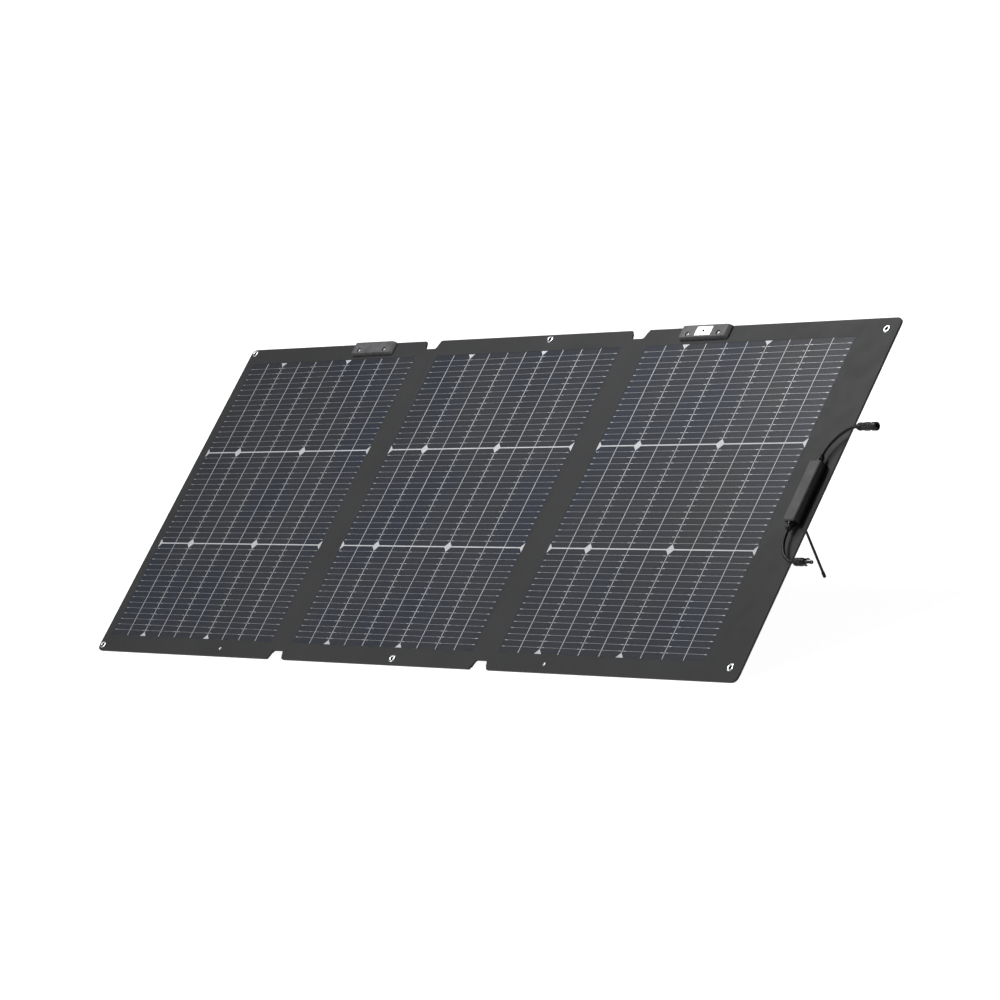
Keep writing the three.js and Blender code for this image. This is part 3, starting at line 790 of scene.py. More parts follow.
def carved(obj, cutters=(), joined=(), bevel=0.0):
    """Joins and cuts an object with others, rounds its sharp edges and keeps the result."""
    tools = [("UNION", tool) for tool in joined] + [("DIFFERENCE", tool) for tool in cutters]
    for operation, tool in tools:
        step = obj.modifiers.new("cut", "BOOLEAN")
        step.operation = operation
        step.solver = "EXACT"
        step.object = tool
    if bevel:
        step = obj.modifiers.new("edges", "BEVEL")
        step.width = bevel * MM
        step.segments = BEVEL_SEGMENTS
        step.limit_method = "ANGLE"
        step.angle_limit = math.radians(BEVEL_ANGLE)
    graph = bpy.context.evaluated_depsgraph_get()
    mesh = bpy.data.meshes.new_from_object(obj.evaluated_get(graph), depsgraph=graph)
    obj.modifiers.clear()
    obj.data = mesh
    smooth(mesh)
    for _, tool in tools:
        bpy.data.objects.remove(tool)
    return obj


def lathe(profile, place=Matrix(), sides=SIDES):
    """New mesh with one turned body."""
    bm = bmesh.new()
    turned(bm, profile, place, sides)
    return bm


def sheet(loops, profile, place=Matrix()):
    """New mesh with one slab."""
    bm = bmesh.new()
    slab(bm, loops, profile, place)
    return bm


def block(low, high, bevel=0.0, place=Matrix()):
    """New mesh with one rounded block."""
    bm = bmesh.new()
    box_body(bm, low, high, bevel, place)
    return bm


def standing(point):
    """Places a shape drawn along n at a point of the panel."""
    return Matrix.Translation((point.x, point.y, 0))


def body_for(name):
    return f"{name}_section"


# ---- laminate faces and cells ----------------------------------------------------------

STRIPS, ROWS, WIRES = 10, 3, 16
STRIP_GAP, ROW_GAP = 1.45, 2.2
CHAMFER = 7.5  # cut wafer corners, which show the white sheet
BACKING = (-0.75, -0.12)
CELL = (-0.11, -0.06)
WIRE = {"width": 0.38, "top": -0.01, "start": 1.6}
PAD = {"width": 1.1, "length": 6, "start": 2.5, "top": 0.05}
PAIRED = (2, 6)  # strip boundaries where four cut corners meet


def build_face(name):
    """Charcoal film with a window over the cells and holes for the eyelets and screws."""
    outer, holes = outline(f"front_laminate_{name}")
    low, high = span(f"cell_matrix_{name}")
    back = span(f"front_laminate_{name}")[0].z
    margin = Vector((0.3, 0.3, 0))
    loops = [outer, list(reversed(rectangle(low - margin, high + margin, 0.6)))]
    loops += [circle(*hole) for hole in holes]
    piece(f"laminate_face_{name}", sheet(loops, edged(back, 0, 0.16)), "laminate", body_for(name),
          f"front_laminate_{name}")


def cut_corner(boundary, line):
    """Whether the wafers' cut corners meet at a strip boundary on a row line."""
    return boundary in PAIRED or (boundary in (0, STRIPS) and 0 < line < ROWS)


def strip_loop(low, high, strip, row):
    """One cell strip, with the corners that were the wafer's own cut off."""
    corners = []
    for x, y, boundary, line, inwards, upwards in (
        (low.x, low.y, strip, row, 1, 1), (high.x, low.y, strip + 1, row, -1, 1),
        (high.x, high.y, strip + 1, row + 1, -1, -1), (low.x, high.y, strip, row + 1, 1, -1),
    ):
        if not cut_corner(boundary, line):
            corners.append(Vector((x, y)))
            continue
        level = Vector((x + inwards * CHAMFER, y))
        upright = Vector((x, y + upwards * CHAMFER))
        corners += [upright, level] if inwards * upwards > 0 else [level, upright]
    return corners


def build_cells(name, draw):
    """Strips, wires, solder pads and the white sheet behind them."""
    low, high = span(f"cell_matrix_{name}")
    pitch = (high.x - low.x) / STRIPS
    rise = (high.y - low.y) / ROWS
    body = body_for(name)

    backing = sheet([rectangle(low, high)], [(0, BACKING[0]), (0, BACKING[1])])
    piece(f"cell_backing_{name}", backing, "cell_gap", body)

    gap = Vector((STRIP_GAP, ROW_GAP)) / 2
    bm = bmesh.new()
    tones = []
    for row in range(ROWS):
        for strip in range(STRIPS):
            start = Vector((low.x + pitch * strip, low.y + rise * row))
            end = start + Vector((pitch, rise))
            start += Vector((gap.x if strip else 0, gap.y if row else 0))
            end -= Vector((gap.x if strip < STRIPS - 1 else 0, gap.y if row < ROWS - 1 else 0))
            slab(bm, [strip_loop(start, end, strip, row)], [(0, CELL[0]), (0, CELL[1])])
            tone = draw.random()
            tones += [tone] * (len(bm.verts) - len(tones))
    cells = solid(f"cell_strips_{name}", bm, "cells")
    cells.data.attributes.new("tone", "FLOAT", "POINT").data.foreach_set("value", tones)
    settle(cells, "cells", body, f"cell_matrix_{name}")

    wires, pads = bmesh.new(), bmesh.new()
    root = CELL[1] - 0.1
    for row in range(ROWS):
        for wire in range(WIRES):
            s = low.y + rise * row + rise * (wire + 1) / (WIRES + 1)
            for strip in range(STRIPS):
                x = low.x + pitch * strip
                box_body(wires, (x + WIRE["start"], s - WIRE["width"] / 2, root),
                         (x + pitch - WIRE["start"], s + WIRE["width"] / 2, WIRE["top"]))
                side = x + (pitch - PAD["start"] - PAD["length"] if strip % 2 else PAD["start"])
                box_body(pads, (side, s - PAD["width"] / 2, root),
                         (side + PAD["length"], s + PAD["width"] / 2, PAD["top"]))
    piece(f"cell_wires_{name}", wires, "cell_metal", body)
    piece(f"solder_pads_{name}", pads, "cell_metal", body)


# ---- fold webs and back covers ---------------------------------------------------------

FOLDS = {"left": ("left", "middle"), "right": ("middle", "right")}
WEB_COLUMNS, WEB_ROWS = 32, 40


def crossing(loop, x):
    """Lowest and highest s at which a loop crosses a given x."""
    levels = []
    for a, b in zip(loop, loop[1:] + loop[:1]):
        if min(a.x, b.x) <= x <= max(a.x, b.x) and a.x != b.x:
            levels.append(a.y + (b.y - a.y) * (x - a.x) / (b.x - a.x))
    return min(levels), max(levels)


def web_sheet(bm, loop, x_range, back, front):
    """Sheet across a fold, in columns that can bend. back and front give n at each x."""
    layers = ([], [])
    for i in range(WEB_COLUMNS + 1):
        x = x_range[0] + (x_range[1] - x_range[0]) * i / WEB_COLUMNS
        inside = min(max(x, min(p.x for p in loop) + 0.01), max(p.x for p in loop) - 0.01)
        low, high = crossing(loop, inside)
        for layer, level in zip(layers, (back, front)):
            layer.append([
                bm.verts.new((x, low + (high - low) * j / WEB_ROWS, level(x)))
                for j in range(WEB_ROWS + 1)
            ])
    for layer in layers:
        for left, right in zip(layer, layer[1:]):
            for j in range(WEB_ROWS):
                bm.faces.new((left[j], right[j], right[j + 1], left[j + 1]))
    behind, ahead = layers
    rim = [[column[0] for column in layer] + layer[-1][1:]
           + [column[-1] for column in reversed(layer[:-1])] + layer[0][-2:0:-1]
           for layer in (behind, ahead)]
    bridge(bm, *rim)


def build_fold(name):
    """Film in front and fabric behind, each bending from one section to the next."""
    before, after = FOLDS[name]
    loop, _ = outline(f"fold_web_{name}")
    start, end = min(p.x for p in loop) - 0.3, max(p.x for p in loop) + 0.3
    centre, half = (start + end) / 2, (end - start) / 2

    def dip(x, depth):
        return depth * (1 - min(1, abs(x - centre) / half) ** 4)

    sheets = {
        "film": ((start + 0.06, end - 0.06),
                 lambda x: -1.2 - dip(x, 0.15), lambda x: -0.1 - dip(x, 0.25)),
        "fabric": ((start - 2.3, end + 2.3),
                   lambda x: -4.3 + dip(x, 1.5), lambda x: -3.7 + dip(x, 1.5)),
    }
    for kind, (x_range, back, front) in sheets.items():
        bm = bmesh.new()
        web_sheet(bm, loop, x_range, back, front)
        finish = "laminate" if kind == "film" else "fabric"
        web = solid(f"fold_{kind}_{name}", bm, finish)
        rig.blend(web, body_for(before), body_for(after),
                 start=PANEL @ Vector((start, 300, 0)), end=PANEL @ Vector((end, 300, 0)))
        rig.slot(web, finish)
        if kind == "film":
            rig.replaces(web, f"fold_web_{name}")


STITCH = {"length": 3.0, "pitch": 4.2, "radius": 0.24, "inset": 4.5}


def walk(loop, pitch):
    """Points and directions at even steps along a closed loop."""
    sides = list(zip(loop, loop[1:] + loop[:1]))
    total = sum((b - a).length for a, b in sides)
    count = round(total / pitch)
    done, k = 0.0, 0
    for a, b in sides:
        length = (b - a).length
        while k < count and k * total / count < done + length:
            yield a + (b - a) * ((k * total / count - done) / length), (b - a).normalized()
            k += 1
        done += length


def stitch(bm, point, direction, level):
    turn = Matrix.Rotation(math.atan2(direction.y, direction.x), 4, "Z")
    half, radius = STITCH["length"] / 2, STITCH["radius"]
    profile = [(0, -half), (radius * 0.8, -half + 0.25), (radius, 0), (radius * 0.8, half - 0.25), (0, half)]
    place = Matrix.Translation((point.x, point.y, level)) @ turn @ ALONG_X
    turned(bm, profile, place, sides=6)


def build_cover(name):
    """Woven back cover with a hem stitched all round."""
    outer, holes = outline(f"back_cover_{name}")
    low, high = span(f"back_cover_{name}")
    cover = sheet([outer] + [circle(*hole) for hole in holes], edged(low.z, high.z, 0.2))
    piece(f"back_fabric_{name}", cover, "fabric", body_for(name), f"back_cover_{name}")
    bm = bmesh.new()
    for point, direction in walk(inset(outer, STITCH["inset"]), STITCH["pitch"]):
        stitch(bm, point, direction, low.z - 0.04)
    piece(f"hem_stitching_{name}", bm, "thread", body_for(name), slot="fabric")


# ---- eyelets, rivets, clips ------------------------------------------------------------


def build_eyelet(node, body):
    """Rolled eyelet: a domed flange in front, a barrel lined with a dark sleeve of painted shade, and a curled ring
    behind.
    """
    low, high = span(node)
    centre = (low + high) / 2
    flange = (high.x - low.x) / 2
    hole, barrel, roll = flange * 0.477, flange * 0.6, flange * 0.86
    front, back = high.z, low.z
    seat = front - 1.2
    profile = rounded([
        (hole, back + 1), (hole + 0.5, back), (roll, back), (roll, back + 0.9), (barrel, back + 1),
        (barrel, seat), (flange, seat), (flange - 0.1, seat + 0.5), (barrel + 1.3, front),
        (barrel + 0.2, front), (hole, front - 0.7), (hole, back + 1),
    ], 0.5)
    piece(f"{node}_ring", lathe(profile, standing(centre), FINE_SIDES), "steel", body, node)
    # The dark plastic sleeve inside the hole is painted shade: it stands for the shadow inside the barrel.
    outside, inside, rear, mouth = hole - 0.02, hole - 0.15, back + 1.2, front - 0.9
    painted_shade_sleeve = [(outside, rear), (outside, mouth), (inside, mouth), (inside, rear), (outside, rear)]
    piece(f"{node}_lining", lathe(painted_shade_sleeve, standing(centre), FINE_SIDES), "plastic", body)


def build_rivet(node, body):
    low, high = span(node)
    centre = (low + high) / 2
    head = (high.x - low.x) / 2
    seat, rear = high.z - 1.8, low.z + 0.8
    dome = [(head * math.cos(a), seat + 0.4 + 1.4 * math.sin(a))
            for a in (math.pi / 2 * k / 8 for k in range(8))]
    profile = [(0, low.z), (head - 0.4, low.z), (head, low.z + 0.3), (head, rear), (1.8, rear),
               (1.8, seat), (head, seat)] + dome + [(0, high.z)]
    piece(f"{node}_domed", lathe(profile, standing(centre)), "screw", body, node, slot="steel")


def build_screw(node, body):
    """Pan-head screw with a six-lobed drive."""
    low, high = span(node)
    centre = (low + high) / 2
    head = (high.x - low.x) / 2
    seat = high.z - 2.1
    profile = rounded([
        (0, low.z), (1.2, low.z), (1.7, low.z + 1), (1.7, seat), (head, seat), (head, high.z - 0.9),
        (head - 1, high.z - 0.1), (0, high.z),
    ], 0.5)
    place = standing(centre)
    # The screw's darker metal is partly painted shade for its counterbore.
    screw = solid(f"{node}_fine", lathe(profile, place), "screw")
    loop = []
    for k in range(SIDES):
        angle = 2 * math.pi * k / SIDES
        lobe = 1.35 + 0.25 * math.cos(6 * angle)
        loop.append(Vector((lobe * math.cos(angle), lobe * math.sin(angle))))
    drive = sheet([loop], [(0, high.z - 1.2), (0, high.z + 1)], place)
    carved(screw, [solid("drive", drive, "screw")])
    settle(screw, "steel", body, node)


def clip_shape(low, high):
    """Bar with sloping ends and narrow bevels along its long edges, as a convex body."""
    bm = bmesh.new()
    skirt, slope, side_slope, corner = 2.5, 4.2, 1.2, 3.2
    rings = []
    for end, side, n in ((0, 0, low.z), (0, 0, low.z + skirt), (slope, side_slope, high.z)):
        loop = rectangle((low.x + end, low.y + side), (high.x - end, high.y - side), corner - side / 2, 5)
        rings.append([bm.verts.new((*point, n)) for point in loop])
    for lower, upper in zip(rings, rings[1:]):
        bridge(bm, lower, upper)
    bm.faces.new(rings[0])
    bm.faces.new(rings[-1])
    return bm


def build_clip(name):
    """Front bar with counterbored screw holes; the right one has a window for the target."""
    body = body_for(name)
    low, high = span(f"top_clip_{name}")
    screws = [f"clip_screw_{name}_{i}" for i in (1, 2)]
    bar = solid(f"clip_bar_{name}", clip_shape(low, high), "clip")
    cutters = []
    for node in screws:
        bore = [(0, -9), (2.1, -9), (2.1, 5), (4.3, 5), (4.3, 20), (0, 20)]
        cutters.append(solid("cutter", lathe(bore, standing(middle(node))), "clip"))
    if name == "right":
        target_low, target_high = span("sun_target_plate")
        window = block(target_low - Vector((0.3, 0.3, 0.3)), target_high + Vector((0.3, 0.3, 20)))
        cutters.append(solid("cutter", window, "clip"))
    carved(bar, cutters, bevel=0.45)
    settle(bar, "plastic", body, f"top_clip_{name}")

    outer, holes = outline(f"clip_back_plate_{name}")
    low, high = span(f"clip_back_plate_{name}")
    rear = sheet([outer] + [circle(*hole) for hole in holes], edged(low.z, high.z, 0.6))
    piece(f"clip_rear_plate_{name}", rear, "plastic", body, f"clip_back_plate_{name}")
    for node in screws:
        build_screw(node, body)


def build_target():
    """White target plate, and a post whose shadow shows where the sun is."""
    low, high = span("sun_target_plate")
    post_low, post_high = span("sun_target_post")
    centre = middle("sun_target_post")
    radius = (post_high.x - post_low.x) / 2
    loops = [rectangle(low, high, 1.0), circle(centre.x, centre.y, radius + 0.3)]
    face = sheet(loops, edged(low.z, high.z, 0.25))
    piece("sun_target_face", face, "target", "right_section", "sun_target_plate")
    profile = rounded([
        (0, post_low.z), (radius, post_low.z), (radius, post_high.z - 0.4), (0, post_high.z)], 0.4)
    post = lathe(profile, standing(centre), FEW_SIDES)
    piece("sun_target_pin", post, "plastic", "right_section", "sun_target_post")


# ---- junction box and glands -----------------------------------------------------------


def build_box():
    body = "right_section"
    low, high = span("junction_box_base")
    draft, corner, bore = 0.35, 3.4, 3.7
    wall = Vector((2, 2, 0))
    base = solid("box_base", sheet([rectangle(low, high, corner, 8)], [
        (0.4, low.z), (0, low.z + 0.4), (draft, high.z - 0.3), (draft + 0.3, high.z)]), "plastic")
    inner = sheet([rectangle(low + wall, high - wall, 2)], [(0, low.z + 1.8), (0, high.z + 5)])
    gland = middle("cable_gland_upper")
    through = lathe([(0, -100), (bore, -100), (bore, 100), (0, 100)],
                    Matrix.Translation((gland.x, (low.y + high.y) / 2, gland.z)) @ ALONG_S)
    carved(base, [solid("cutter", inner, "plastic"), solid("cutter", through, "plastic")])
    settle(base, "plastic", body, "junction_box_base")

    low, high = span("junction_box_lid")
    lid = sheet([rectangle(low, high, corner, 8)], [
        (0.5, low.z), (0.2, low.z), (0, low.z + 0.2), (0, high.z - 1.9), (0.12, high.z - 1.7),
        (1.7, high.z - 0.12), (2.0, high.z), (2.4, high.z)])
    piece("box_lid", lid, "lid", body, "junction_box_lid")


FLUTES, FLUTE_STEPS = 12, 6


def fluted(bm, place, start, end, radius, depth):
    """Ring of grip ribs: a scalloped sleeve between two distances along its axis."""
    count = FLUTES * FLUTE_STEPS
    root = radius - depth
    rings = []
    for along, base, rise in ((start, root, 0), (start + 0.5, root, depth), (end - 0.5, root, depth),
                              (end, root, 0), (end, root - 0.4, 0), (start, root - 0.4, 0)):
        ring = []
        for i in range(count):
            angle = 2 * math.pi * i / count
            r = base + rise * abs(math.cos(angle * FLUTES / 2)) ** 0.7
            ring.append(bm.verts.new(place @ Vector((r * math.cos(angle), r * math.sin(angle), along))))
        rings.append(ring)
    for lower, upper in zip(rings, rings[1:] + rings[:1]):
        bridge(bm, lower, upper)


def build_gland(name):
    """Flanged gland and its ribbed clamping nut, at one end of the box."""
    body = "right_section"
    upwards = name == "upper"
    far = 1 if upwards else 0
    gland, nut = span(f"cable_gland_{name}"), span(f"gland_nut_{name}")
    centre = middle(f"cable_gland_{name}")
    face = span("junction_box_base")[far].y
    place = Matrix.Translation((centre.x, face, centre.z)) @ (ALONG_S if upwards else DOWN_S)
    flange = (gland[1].x - gland[0].x) / 2
    bore, neck, root = 2.7, 3.4, -2.0
    tip = abs(gland[far].y - face)
    profile = rounded([
        (bore, root), (neck, root), (neck, 0.3), (flange, 0.3), (flange, 3.5), (neck, 3.5),
        (neck, tip), (bore, tip), (bore, root)], 0.35)
    piece(f"gland_body_{name}", lathe(profile, place), "plastic", body, f"cable_gland_{name}")

    start, end = abs(nut[1 - far].y - face), abs(nut[far].y - face)
    radius = (nut[1].x - nut[0].x) / 2
    core, thread, mouth = radius - 0.5, 3.7, 2.6
    profile = rounded([
        (thread, start), (core, start), (core, end - 3.6), (3.5, end), (mouth, end),
        (mouth, start + 1.1), (thread, start + 1.1), (thread, start)], 0.35)
    cap = lathe(profile, place)
    fluted(cap, place, start + 0.1, end - 3.4, radius, 0.6)
    piece(f"gland_cap_{name}", cap, "plastic", body, f"gland_nut_{name}")


# ---- connectors ------------------------------------------------------------------------


def connector_place(node):
    low, high = span(node)
    return Matrix.Translation((low.x, (low.y + high.y) / 2, (low.z + high.z) / 2)) @ ALONG_X


def build_connector_nut(kind):
    """Tapered nut with deep grip ribs."""
    node = f"{kind}_connector_nut"
    place = connector_place(node)
    profile = rounded([
        (2.6, 0), (3.5, 0), (4.5, 2.5), (5.5, 4.8), (5.5, 11.1), (4, 11.1), (2.6, 6.4), (2.6, 0)], 0.4)
    nut = lathe(profile, place)
    fluted(nut, place, 4.2, 10.7, 6.1, 0.65)
    return piece(f"{kind}_nut", nut, "plastic", "right_section", node)


def contact_piece(kind, place, profile):
    turning = lathe(profile, place, FEW_SIDES)
    return piece(f"{kind}_contact_fine", turning, "contact", "right_section", f"{kind}_contact")


def build_socket_connector():
    """Ribbed barrel with two latch windows and a heavier collar at the mouth."""
    place = connector_place("socket_connector_nut")
    profile = rounded([
        (2.8, 11.4), (5.5, 11.4), (5.7, 12.5), (5.9, 15.2), (5.9, 31.7), (6.5, 32.8), (6.5, 40.3),
        (6.0, 40.8), (4.3, 40.8), (4.3, 20.8), (2.8, 20.8), (2.8, 11.4)], 0.4)
    barrel = solid("socket_body", lathe(profile, place, FINE_SIDES), "plastic")
    ribs = []
    for i in range(6):
        turn = Matrix.Rotation(math.pi / 3 * i, 4, "Z")
        ribs.append(solid("rib", block((5.3, -0.6, 16.8), (6.4, 0.6, 29.6), 0.25, place @ turn), "plastic"))
    turn = Matrix.Rotation(math.pi * 2 / 3, 4, "Z")
    windows = block((-8, -1.8, 26.4), (8, 1.8, 30.8), 0.3, place @ turn)
    carved(barrel, [solid("window", windows, "plastic")], ribs)
    settle(barrel, "plastic", "right_section", "socket_connector_body")
    contact = contact_piece("socket", place, [
        (1.3, 12.8), (1.9, 12.8), (1.9, 34.8), (1.7, 35.2), (1.3, 35.2), (1.3, 12.8)])
    return [barrel, contact]


def build_pin_connector():
    """Round housing with two sprung latch arms, and a slim shroud round the pin."""
    place = connector_place("pin_connector_nut")
    profile = rounded([
        (2.8, 11.4), (5.8, 11.4), (6.2, 13.1), (6.2, 18.7), (5, 20), (5, 22.6), (2.4, 23.2),
        (2.1, 34.4), (2.7, 35.2), (2.7, 38.1), (2.1, 38.4), (1.6, 38.4), (1.6, 12.8), (2.8, 12.8),
        (2.8, 11.4)], 0.3)
    housing = solid("pin_body", lathe(profile, place, FINE_SIDES), "plastic")
    loop = soften([Vector(p) for p in (
        (5.3, 17.6), (5.5, 25.6), (6.7, 26.8), (5.3, 30.8), (4.3, 30.6), (4.2, 24), (4.1, 17.6))])
    arms = []
    for turn in (0, math.pi):
        side = place @ Matrix.Rotation(turn + math.pi / 2, 4, "Z") @ DOWN_S
        arm = sheet([loop], [(0.25, -1.6), (0, -1.35), (0, 1.35), (0.25, 1.6)], side)
        arms.append(solid("arm", arm, "plastic"))
    carved(housing, (), arms)
    settle(housing, "plastic", "right_section", "pin_connector_body")
    contact = contact_piece("pin", place, [(0, 13.6), (1.2, 13.6), (1.2, 36.1), (0.9, 36.8), (0, 36.8)])
    return [housing, contact]


# ---- legs ------------------------------------------------------------------------------

# Bore round the hinge pin, thickness of the bracket's plate and of its ears, and the radius of
# the rivets' heads.
HINGE = {"bore": 1.4, "plate": 1.2, "ear": 1.6, "rivet": 2.2}
ROD_RADIUS, FOOT_RADIUS = 2.1, 2.7


def hinge_bore(hinge, half):
    """Cutter for the hole round a leg's hinge pin."""
    radius = HINGE["bore"]
    return lathe([(0, -half), (radius, -half), (radius, half), (0, half)],
                 Matrix.Translation(hinge) @ ALONG_X)


def build_bracket(name, body):
    """Stamped bracket: a riveted plate and two ears round the hinge pin."""
    node = f"leg_bracket_{name}"
    low, high = span(node)
    hinge = LOCAL @ Vector(JOINTS[f"{name}_leg_hinge"]["pos_m"])
    ear, thick = HINGE["ear"], HINGE["plate"]
    stamped = sheet([rectangle(low, high, 3.5, 8)], edged(high.z - thick, high.z, 0.25))
    plate = solid(f"{node}_plate", stamped, "steel")
    inner = span(f"leg_rod_{name}")[1].x - hinge.x + 0.3
    radius = hinge.z - low.z
    loop = [Vector((hinge.y + radius, high.z - thick / 2))]
    for k in range(17):
        angle = math.pi * k / 16
        loop.append(Vector((hinge.y + radius * math.cos(angle), hinge.z - radius * math.sin(angle))))
    loop.append(Vector((hinge.y - radius, high.z - thick / 2)))
    loop.reverse()
    upright = Matrix(((0, 0, 1, hinge.x), (1, 0, 0, 0), (0, 1, 0, 0), (0, 0, 0, 1)))
    ears = []
    for start in (-inner - ear, inner):
        levels = [(0.2, start), (0, start + 0.2), (0, start + ear - 0.2), (0.2, start + ear)]
        ears.append(solid("ear", sheet([loop], levels, upright), "steel"))
    carved(plate, [solid("bore", hinge_bore(hinge, 20), "steel")], ears)
    settle(plate, "steel", body, node)

    bm = bmesh.new()
    radius, head = HINGE["rivet"], high.z - thick - 0.05
    dome = [(0, head), (radius, head)]
    for k in range(6):
        angle = math.pi / 2 * k / 6
        dome.append((radius * math.cos(angle), head - 0.2 - 0.9 * math.sin(angle)))
    dome.append((0, head - 1.1))
    for x in (low.x + 4, high.x - 4):
        for s in (low.y + 4.5, high.y - 4.5):
            turned(bm, dome, standing(Vector((x, s))), FEW_SIDES)
    piece(f"bracket_rivets_{name}", bm, "steel", body)

    low, high = span(f"leg_hinge_pin_{name}")
    half = (high.x - low.x) / 2
    profile = rounded([
        (0, -half), (1.3, -half), (1.9, -half + 0.5), (1.9, -half + 1), (1.1, -half + 1),
        (1.1, half - 1), (1.9, half - 1), (1.9, half - 0.5), (1.3, half), (0, half)], 0.2)
    pin = lathe(profile, Matrix.Translation(hinge) @ ALONG_X, FEW_SIDES)
    piece(f"hinge_pin_{name}", pin, "steel", body, f"leg_hinge_pin_{name}")


def build_leg(name):
    """Coated rod with a flattened eye and stop heel, and a ribbed rubber foot."""
    joint = JOINTS[f"{name}_leg_hinge"]
    body = f"{name}_leg"
    hinge = LOCAL @ Vector(joint["pos_m"])
    place = (Matrix.Translation(hinge) @ Matrix.Rotation(math.radians(joint["range_deg"][1]), 4, "X")
             @ DOWN_S)
    away = (PANEL.to_3x3() @ place.to_3x3() @ Vector((0, 0, 1))).normalized()
    start = Vector(joint["pos_m"]).dot(away)
    mouth, tip = ((along - start) / MM for along in reach(f"leg_foot_{name}", away))
    low, high = span(f"leg_rod_{name}")
    half = (high.x - low.x) / 2
    radius = span(f"leg_bracket_{name}")[1].z - HINGE["plate"] - 0.3 - hinge.z
    end = tip - 7.1
    rod = lathe(rounded([(0, 1.2), (ROD_RADIUS, 1.2), (ROD_RADIUS, end), (0, end)], 0.4), place)
    shaft = solid(f"{body}_rod", rod, "rod")
    eye = lathe(rounded([(0, -half), (radius, -half), (radius, half), (0, half)], 0.4),
                Matrix.Translation(hinge) @ ALONG_X)
    heel = block((-half + 0.2, 0, radius - 2.4), (half - 0.2, 5, radius), 0.3, Matrix.Translation(hinge))
    carved(shaft, [solid("bore", hinge_bore(hinge, 9), "rod")],
           [solid("eye", eye, "rod"), solid("heel", heel, "rod")])
    settle(shaft, "rod", body, f"leg_rod_{name}")

    bore, waist, floor = ROD_RADIUS + 0.15, FOOT_RADIUS - 0.35, tip - 6.7
    profile = [(0, floor), (bore, floor), (bore, mouth), (FOOT_RADIUS - 0.5, mouth),
               (FOOT_RADIUS - 0.2, mouth + 0.8)]
    for along in (mouth + 1.6, mouth + 3.8):
        profile += [(waist, along), (FOOT_RADIUS, along + 0.4), (FOOT_RADIUS, along + 1.4),
                    (waist, along + 1.8)]
    for k in range(8):
        angle = math.pi / 2 * k / 8
        profile.append((FOOT_RADIUS * math.cos(angle), tip - FOOT_RADIUS * (1 - math.sin(angle))))
    profile.append((0, tip))
    piece(f"{body}_foot", lathe(profile, place), "rubber", body, f"leg_foot_{name}")


# ---- assembly --------------------------------------------------------------------------

draw = random.Random(11)
for section in SECTIONS:
    build_face(section)
    build_cells(section, draw)
    build_cover(section)
for fold in FOLDS:
    build_fold(fold)
for node in sorted(NODES):
    body = NODES[node]["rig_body"]
    if node.startswith("eyelet_"):
        build_eyelet(node, body)
    if node.startswith("edge_rivet_"):
        build_rivet(node, body)
for side in ("left", "right"):
    build_clip(side)
build_target()
build_box()
for end in ("upper", "lower"):
    build_gland(end)
plugs = {
    "upper": [build_connector_nut("socket"), *build_socket_connector()],
    "lower": [build_connector_nut("pin"), *build_pin_connector()],
}
for side in ("middle", "right"):
    build_bracket(side, body_for(side))
    build_leg(side)

for name, (lead, path) in leads.items():
    length = sum((b - a).length for a, b in zip(path, path[1:]))
    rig.cord(lead, path=path, exit=PANEL @ (Vector(LEADS[name][0]) / MM), length=length,
            diameter=LEAD_DIAMETER, far_end="connector", stiffness="stiff", lay="loose",
            with_pieces=plugs[name])

# The boards, seal, terminal board and diode keep their CAD shapes.
for part in frame["record"]["subparts"]:
    node = NODES[part["node"]]
    node.data.materials.clear()
    node.data.materials.append(MATERIALS[part["material_slot"]])
    smooth(node.data)

# ---- floor and light -------------------------------------------------------------------

# A broad distant lamp: the direction it comes from, its width in degrees and its strength.
SUN = {"from": (-0.33, 0.26, 0.91), "width": 9, "strength": 2.95}
# Softboxes: place and target in metres, size in metres and power in watts.
LIGHTS = {
    "top": {"place": (0.17, 0, 1.25), "target": (0.12, 0.05, 0.27), "size": (0.8, 0.5), "power": 14},
    "side": {"place": (-1.11, -1.51, 0.9), "target": (-0.5, -0.1, 0.1), "size": (1, 1), "power": 10},
}
FLOOR_GLOW = 0.95
FLOOR_RADIUS, FLOOR_DROP = 900, 0.0005
# Strength of the sky below the first height and above the second.
SKY = {"from": 0.02, "to": 0.3, "horizon": 0.9, "zenith": 0.1}


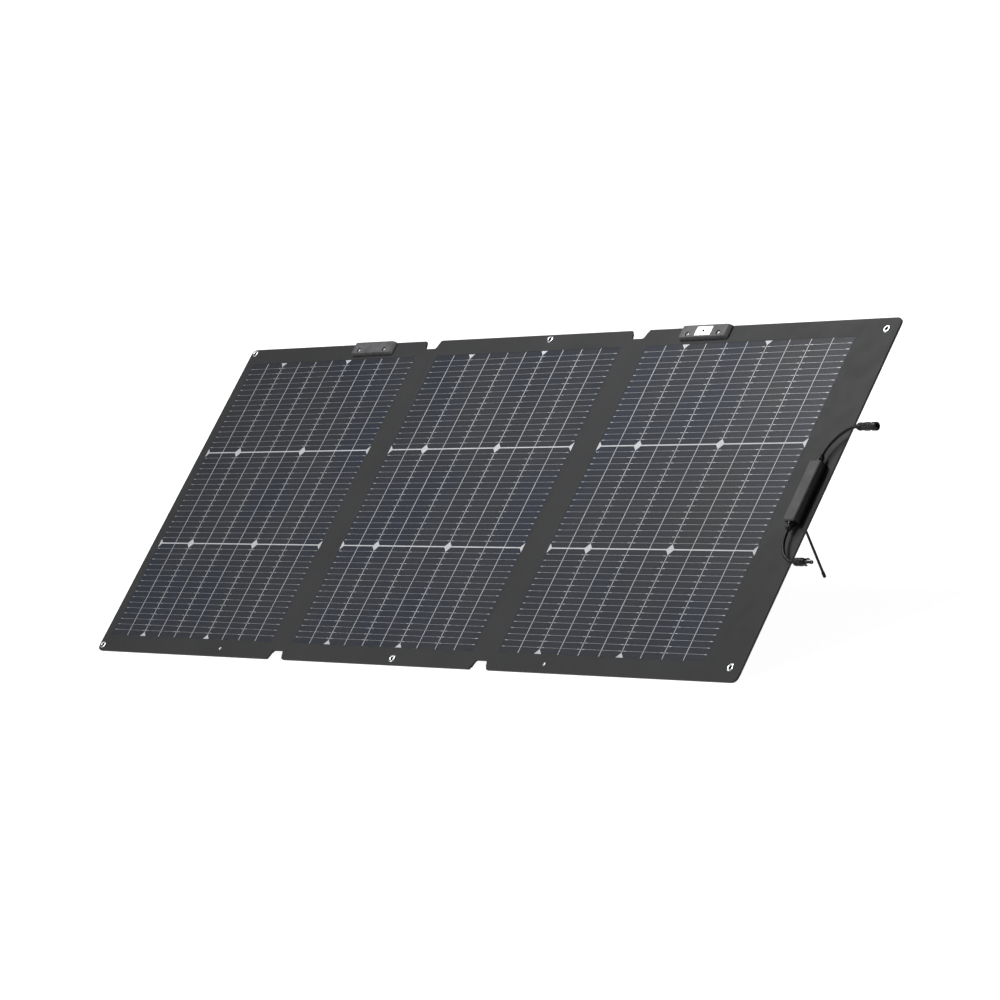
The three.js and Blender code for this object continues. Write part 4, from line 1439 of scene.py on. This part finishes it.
def build_floor():
    """Wide pale floor with a glow of its own, like a light table."""
    made = Shader("floor", Roughness=0.9, Specular_IOR_Level=0.1, Emission_Strength=FLOOR_GLOW)
    made.principled.inputs["Emission Color"].default_value = (1, 1, 1, 1)
    made.paint(made.noise(900, 3), (0.34, 0.34, 0.34), (0.38, 0.38, 0.38))
    bm = bmesh.new()
    bmesh.ops.create_circle(bm, cap_ends=True, radius=FLOOR_RADIUS, segments=64)
    mesh = bpy.data.meshes.new("floor")
    bm.to_mesh(mesh)
    bm.free()
    mesh.materials.append(made.material)
    floor = link("floor", mesh)
    floor.location.z = -FLOOR_DROP
    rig.stage(floor)


def area_light(name, place, target, size, power):
    data = bpy.data.lights.new(name, "AREA")
    data.shape = "RECTANGLE"
    data.size, data.size_y = size
    data.energy = power
    light = link(name, data)
    light.location = place
    light.rotation_euler = (Vector(target) - Vector(place)).to_track_quat("-Z", "Y").to_euler()


def build_light():
    """Soft sky that is bright at the horizon and dim overhead, two softboxes and the broad lamp."""
    world = bpy.data.worlds.new("studio")
    bpy.context.scene.world = world
    world.use_nodes = True
    nodes, links = world.node_tree.nodes, world.node_tree.links
    source = nodes.new("ShaderNodeTexCoord")
    split = nodes.new("ShaderNodeSeparateXYZ")
    fade = nodes.new("ShaderNodeMapRange")
    for index, value in enumerate(SKY.values(), 1):
        fade.inputs[index].default_value = value
    links.new(source.outputs["Generated"], split.inputs[0])
    links.new(split.outputs["Z"], fade.inputs[0])
    links.new(fade.outputs[0], nodes["Background"].inputs["Strength"])
    nodes["Background"].inputs["Color"].default_value = (1, 1, 1, 1)
    for name, light in LIGHTS.items():
        area_light(name, **light)
    sun = link("sun", bpy.data.lights.new("sun", "SUN"))
    sun.data.energy = SUN["strength"]
    sun.data.angle = math.radians(SUN["width"])
    toward = PANEL.to_3x3() @ Vector(SUN["from"])
    sun.rotation_euler = toward.to_track_quat("Z", "Y").to_euler()


build_floor()
build_light()
bpy.context.scene.view_settings.view_transform = "Standard"

VISUAL_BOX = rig.bounds()
with open("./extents.json", "w") as file:
    json.dump({"cad": [list(corner) for corner in CAD_BOX],
               "visual": [list(corner) for corner in VISUAL_BOX]}, file)
